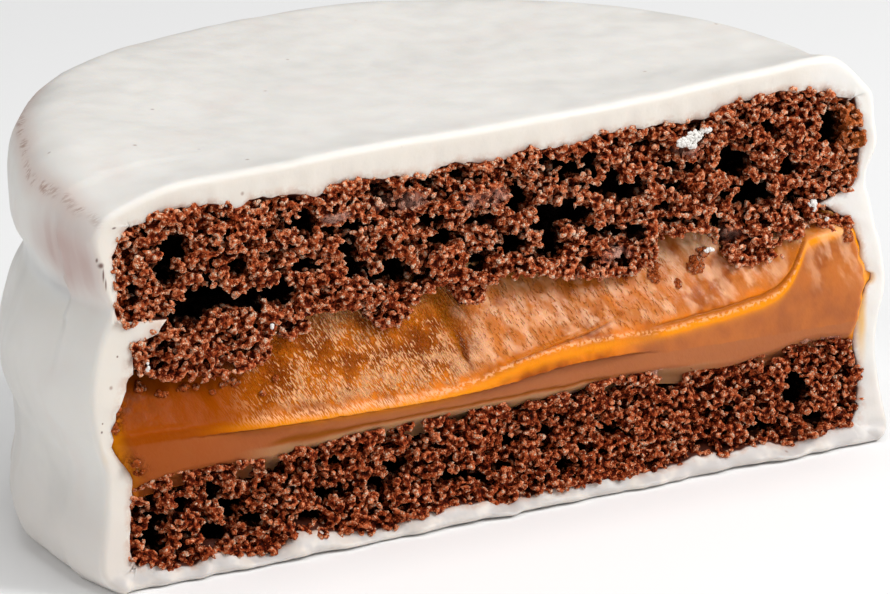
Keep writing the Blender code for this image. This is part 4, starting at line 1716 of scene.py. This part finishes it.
        return depth, {
            # Painted light through the thin lip, the edges and the right end.
            "glow": clamp(0.9 * border * bell(z, 11.5, 3.6) + 0.9 * crest
                          + 1.2 * short_of(right - x, 0.4, 0.5) * bell(z, 13.0, 4.0)),
            "dull": clamp(dull * (1.0 - 0.7 * border) - 0.5 * right_face),
            "scored": 0.015 + 0.985 * scored,
            "cream": clamp(open_slope * (0.75 + 0.5 * ripple) + 0.7 * right_face),
            "nicked": clamp(open_slope * short_of(x, 12.0, 4.0) + 0.6 * scored),
            "crusted": clamp(bell(x, left + 0.6, 0.5) * past(z, 11.5, 1.0)
                             + 0.7 * bell(x, left + 1.0, 0.8) * bell(z, 9.4, 0.8)),
            "seam": clamp(seam + 0.9 * tail + 0.95 * fold + 0.8 * bubble + 0.9 * soaked),
            # Painted shade in creases: under the lip, over the ridge, under the tail, in the
            # crease.
            "line": clamp(0.25 * ridge_line + under_line + 0.35 * tail_shade + 0.7 * crease),
            "groove": clamp(1.1 * foot_line),
            "beige": clamp(0.75 * beige - foot_line),
            # Painted highlight along the lip's crest, as a streaked wash on the left.
            "painted_lip_highlight": clamp(bell(above, 0.05 - 0.2 * past(x, 10.0, 3.0),
                                 0.15 + 0.22 * short_of(x, -8.0, 6.0))
                            * past(x, -22.5, 4.0) * short_of(x, 24.6, 0.8)),
            "bruised": clamp(short_of(x, -29.5, 3.5) * past(z, 11.8, 1.2)),
        }

    def build(self, finish: bpy.types.Material) -> bpy.types.Object:
        """Make the filling's face and the slab behind it.

        Args:
            finish: Its material.

        Returns:
            The filling's face.
        """
        shape = bmesh.new()
        bmesh.ops.create_grid(shape, x_segments=self.columns, y_segments=self.rows, size=1.0)
        layers = {name: shape.verts.layers.float.new(name) for name in self.marks}
        for vert in shape.verts:
            across, up = (vert.co.x + 1.0) * 0.5, (vert.co.y + 1.0) * 0.5
            x = z = 0.0
            for _ in range(3):
                foot = self.foot(x)
                z = foot + up * (self.head(x) - foot)
                start, end = self.edges(z)
                x = start + across * (end - start)
            x += self.drip * bell(z, 12.45, 0.33) * past(across, 0.97, 0.03)
            depth, marks = self.surface(x, z)
            vert.co = (x, ROUND.cut + depth, z)
            for name, value in marks.items():
                vert[layers[name]] = value
        rim = [edge for edge in shape.edges if edge.is_boundary]
        grown = bmesh.ops.extrude_edge_only(shape, edges=rim)
        for item in grown["geom"]:
            if isinstance(item, bmesh.types.BMVert):
                item.co.y = ROUND.cut + self.back
        rim = [edge for edge in shape.edges if edge.is_boundary]
        bmesh.ops.holes_fill(shape, edges=rim)
        bmesh.ops.recalc_face_normals(shape, faces=shape.faces)
        return piece_from("filling_face", mesh_of(shape, "face"), finish,
                          "dulce_de_leche")


@dataclass
class Scatter:
    """Loose lumps of one kind on the cut face, each a knot of rounded grains.

    A knot is its place across, its height, its half width, its half height and how many grains
    it has.
    """

    name: str
    slot: str
    knots: Sequence[tuple[float, float, float, float, int]]
    grain: float
    ground: Callable[[float, float], float]
    proud: float = 0.1
    coated: float = 0.0

    def build(self, finish: bpy.types.Material) -> bpy.types.Object:
        """Make all the lumps as one piece.

        Args:
            finish: Their material.

        Returns:
            The piece.
        """
        luck = random.Random(self.name)
        shape = bmesh.new()
        crest = shape.verts.layers.float.new("crest")
        tone = shape.verts.layers.float.new("tone")
        coated = shape.verts.layers.float.new("coated")
        for x, z, wide, tall, grains in self.knots:
            for _ in range(grains):
                turn = luck.uniform(0.0, 2.0 * math.pi)
                share = math.sqrt(luck.random())
                across = x + wide * share * math.cos(turn)
                height = z + tall * share * math.sin(turn)
                size = self.grain * luck.uniform(0.6, 1.5)
                behind = self.ground(across, height) - self.proud * (1.2 - share)
                middle = Vector((across, ROUND.cut + behind, height))
                tint = luck.random()
                ball = bmesh.ops.create_icosphere(shape, subdivisions=2, radius=size)
                for vert in ball["verts"]:
                    lump = noise.noise((middle + vert.co) * (0.8 / size))
                    # Painted light on each grain's bumps, through the crest mark.
                    vert[crest] = clamp(0.62 + 0.6 * lump)
                    vert[tone] = tint
                    vert[coated] = self.coated * clamp(0.75 + lump)
                    vert.co = middle + vert.co * (1.0 + 0.5 * lump)
        return piece_from(self.name, mesh_of(shape, self.name), finish)


FLECKS = (
    (15.6, 25.2, 0.62, 0.34, 60), (16.4, 25.5, 0.70, 0.36, 76), (17.4, 25.8, 0.52, 0.16, 34),
    (16.2, 24.9, 0.45, 0.22, 22), (26.2, 18.9, 0.34, 0.22, 30), (26.3, 18.5, 0.14, 0.2, 8),
    (27.4, 17.6, 0.10, 0.08, 4), (29.2, 16.7, 0.12, 0.08, 4), (28.4, 15.7, 0.08, 0.08, 3),
    (17.4, 16.9, 0.42, 0.10, 18), (-28.3, 16.2, 0.12, 0.28, 10), (-18.4, 17.4, 0.10, 0.10, 3),
)
CRUMBS = (
    (13.5, 15.4, 0.42, 0.40, 26), (13.9, 15.9, 0.25, 0.25, 10), (15.3, 14.5, 0.16, 0.34, 12),
    (17.0, 15.6, 0.65, 0.5, 44), (17.9, 16.3, 0.45, 0.3, 18), (11.2, 15.6, 0.2, 0.12, 5),
    (-30.4, 13.4, 0.2, 0.5, 12), (-30.8, 12.0, 0.1, 0.5, 7), (-29.6, 9.4, 0.2, 0.3, 8),
    (-29.2, 8.7, 0.3, 0.25, 9), (-24.5, 13.7, 0.9, 0.15, 12), (-21.4, 13.6, 0.8, 0.2, 12),
    (29.0, 16.2, 0.45, 0.5, 26), (-28.0, 14.2, 0.5, 0.3, 12), (-26.5, 13.6, 0.5, 0.2, 9),
    (-22.8, 13.2, 0.1, 0.08, 3), (-19.2, 12.6, 0.1, 0.1, 3), (-18.0, 13.4, 0.12, 0.1, 3),
)


def core_of(node: str, depth: float, finish: bpy.types.Material) -> bpy.types.Object:
    """Make the part of a layer that runs back through the round, behind its detailed face.

    Args:
        node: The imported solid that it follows.
        depth: How far behind the cut plane it starts, in millimetres.
        finish: Its material.

    Returns:
        The core.
    """
    shape = bmesh.new()
    shape.from_mesh(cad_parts[node].data)
    bmesh.ops.remove_doubles(shape, verts=shape.verts, dist=1e-7)
    plane = (0.0, (ROUND.axis_y + ROUND.cut + depth) * MM, 0.0)
    cut = bmesh.ops.bisect_plane(shape, geom=[*shape.verts, *shape.edges, *shape.faces],
                                 dist=1e-7, plane_co=plane, plane_no=(0.0, -1.0, 0.0),
                                 clear_outer=True, clear_inner=False)
    rim = [item for item in cut["geom_cut"] if isinstance(item, bmesh.types.BMEdge)]
    bmesh.ops.triangle_fill(shape, edges=rim, use_beauty=True)
    bmesh.ops.recalc_face_normals(shape, faces=shape.faces)
    mesh = mesh_of(shape, node)
    # The pit mark at full strength: the core is painted near black as shade in the holes.
    pits = mesh.attributes.new("pit", "FLOAT", "POINT")
    pits.data.foreach_set("value", [1.0] * len(mesh.vertices))
    return piece_from(f"{node}_core", mesh, finish, node, in_frame=True)


def main() -> None:
    """Build every piece, from the inside out, then the studio."""
    logging.basicConfig(level=logging.INFO, format="%(name)s %(message)s")
    crumb = CrumbFinish().build()
    caramel = CaramelFinish().build()
    icing = IcingFinish().build()
    CrumbFace(Layer.UPPER, UPPER_TOP, UPPER_FOOT, UPPER_LEFT, UPPER_RIGHT, UPPER_HOLES,
              notch=NOTCH_SLANT).build(crumb)
    CrumbFace(Layer.LOWER, LOWER_TOP, LOWER_FOOT, LOWER_LEFT, LOWER_RIGHT, LOWER_HOLES,
              pore=Vector((1.0, 1.0, 1.7)), pore_limit=0.435, pieces=4).build(crumb)
    core_of("upper_biscuit", 3.2, crumb)
    core_of("lower_biscuit", 3.2, crumb)
    core_of("dulce_de_leche", 3.0, caramel)
    filling = CaramelFilling()
    filling.build(caramel)
    Scatter("loose_crumbs", "chocolate_crumb", CRUMBS, grain=0.16,
            ground=lambda x, z: filling.surface(x, z)[0], coated=0.6).build(crumb)
    Scatter("icing_flecks", "white_icing", FLECKS, grain=0.10,
            ground=lambda x, z: -0.25, proud=0.2).build(IcingFinish("icing_flecks", 0.0).build())
    IcingCoat().build(icing)
    Studio().build()


if __name__ == "__main__":
    main()
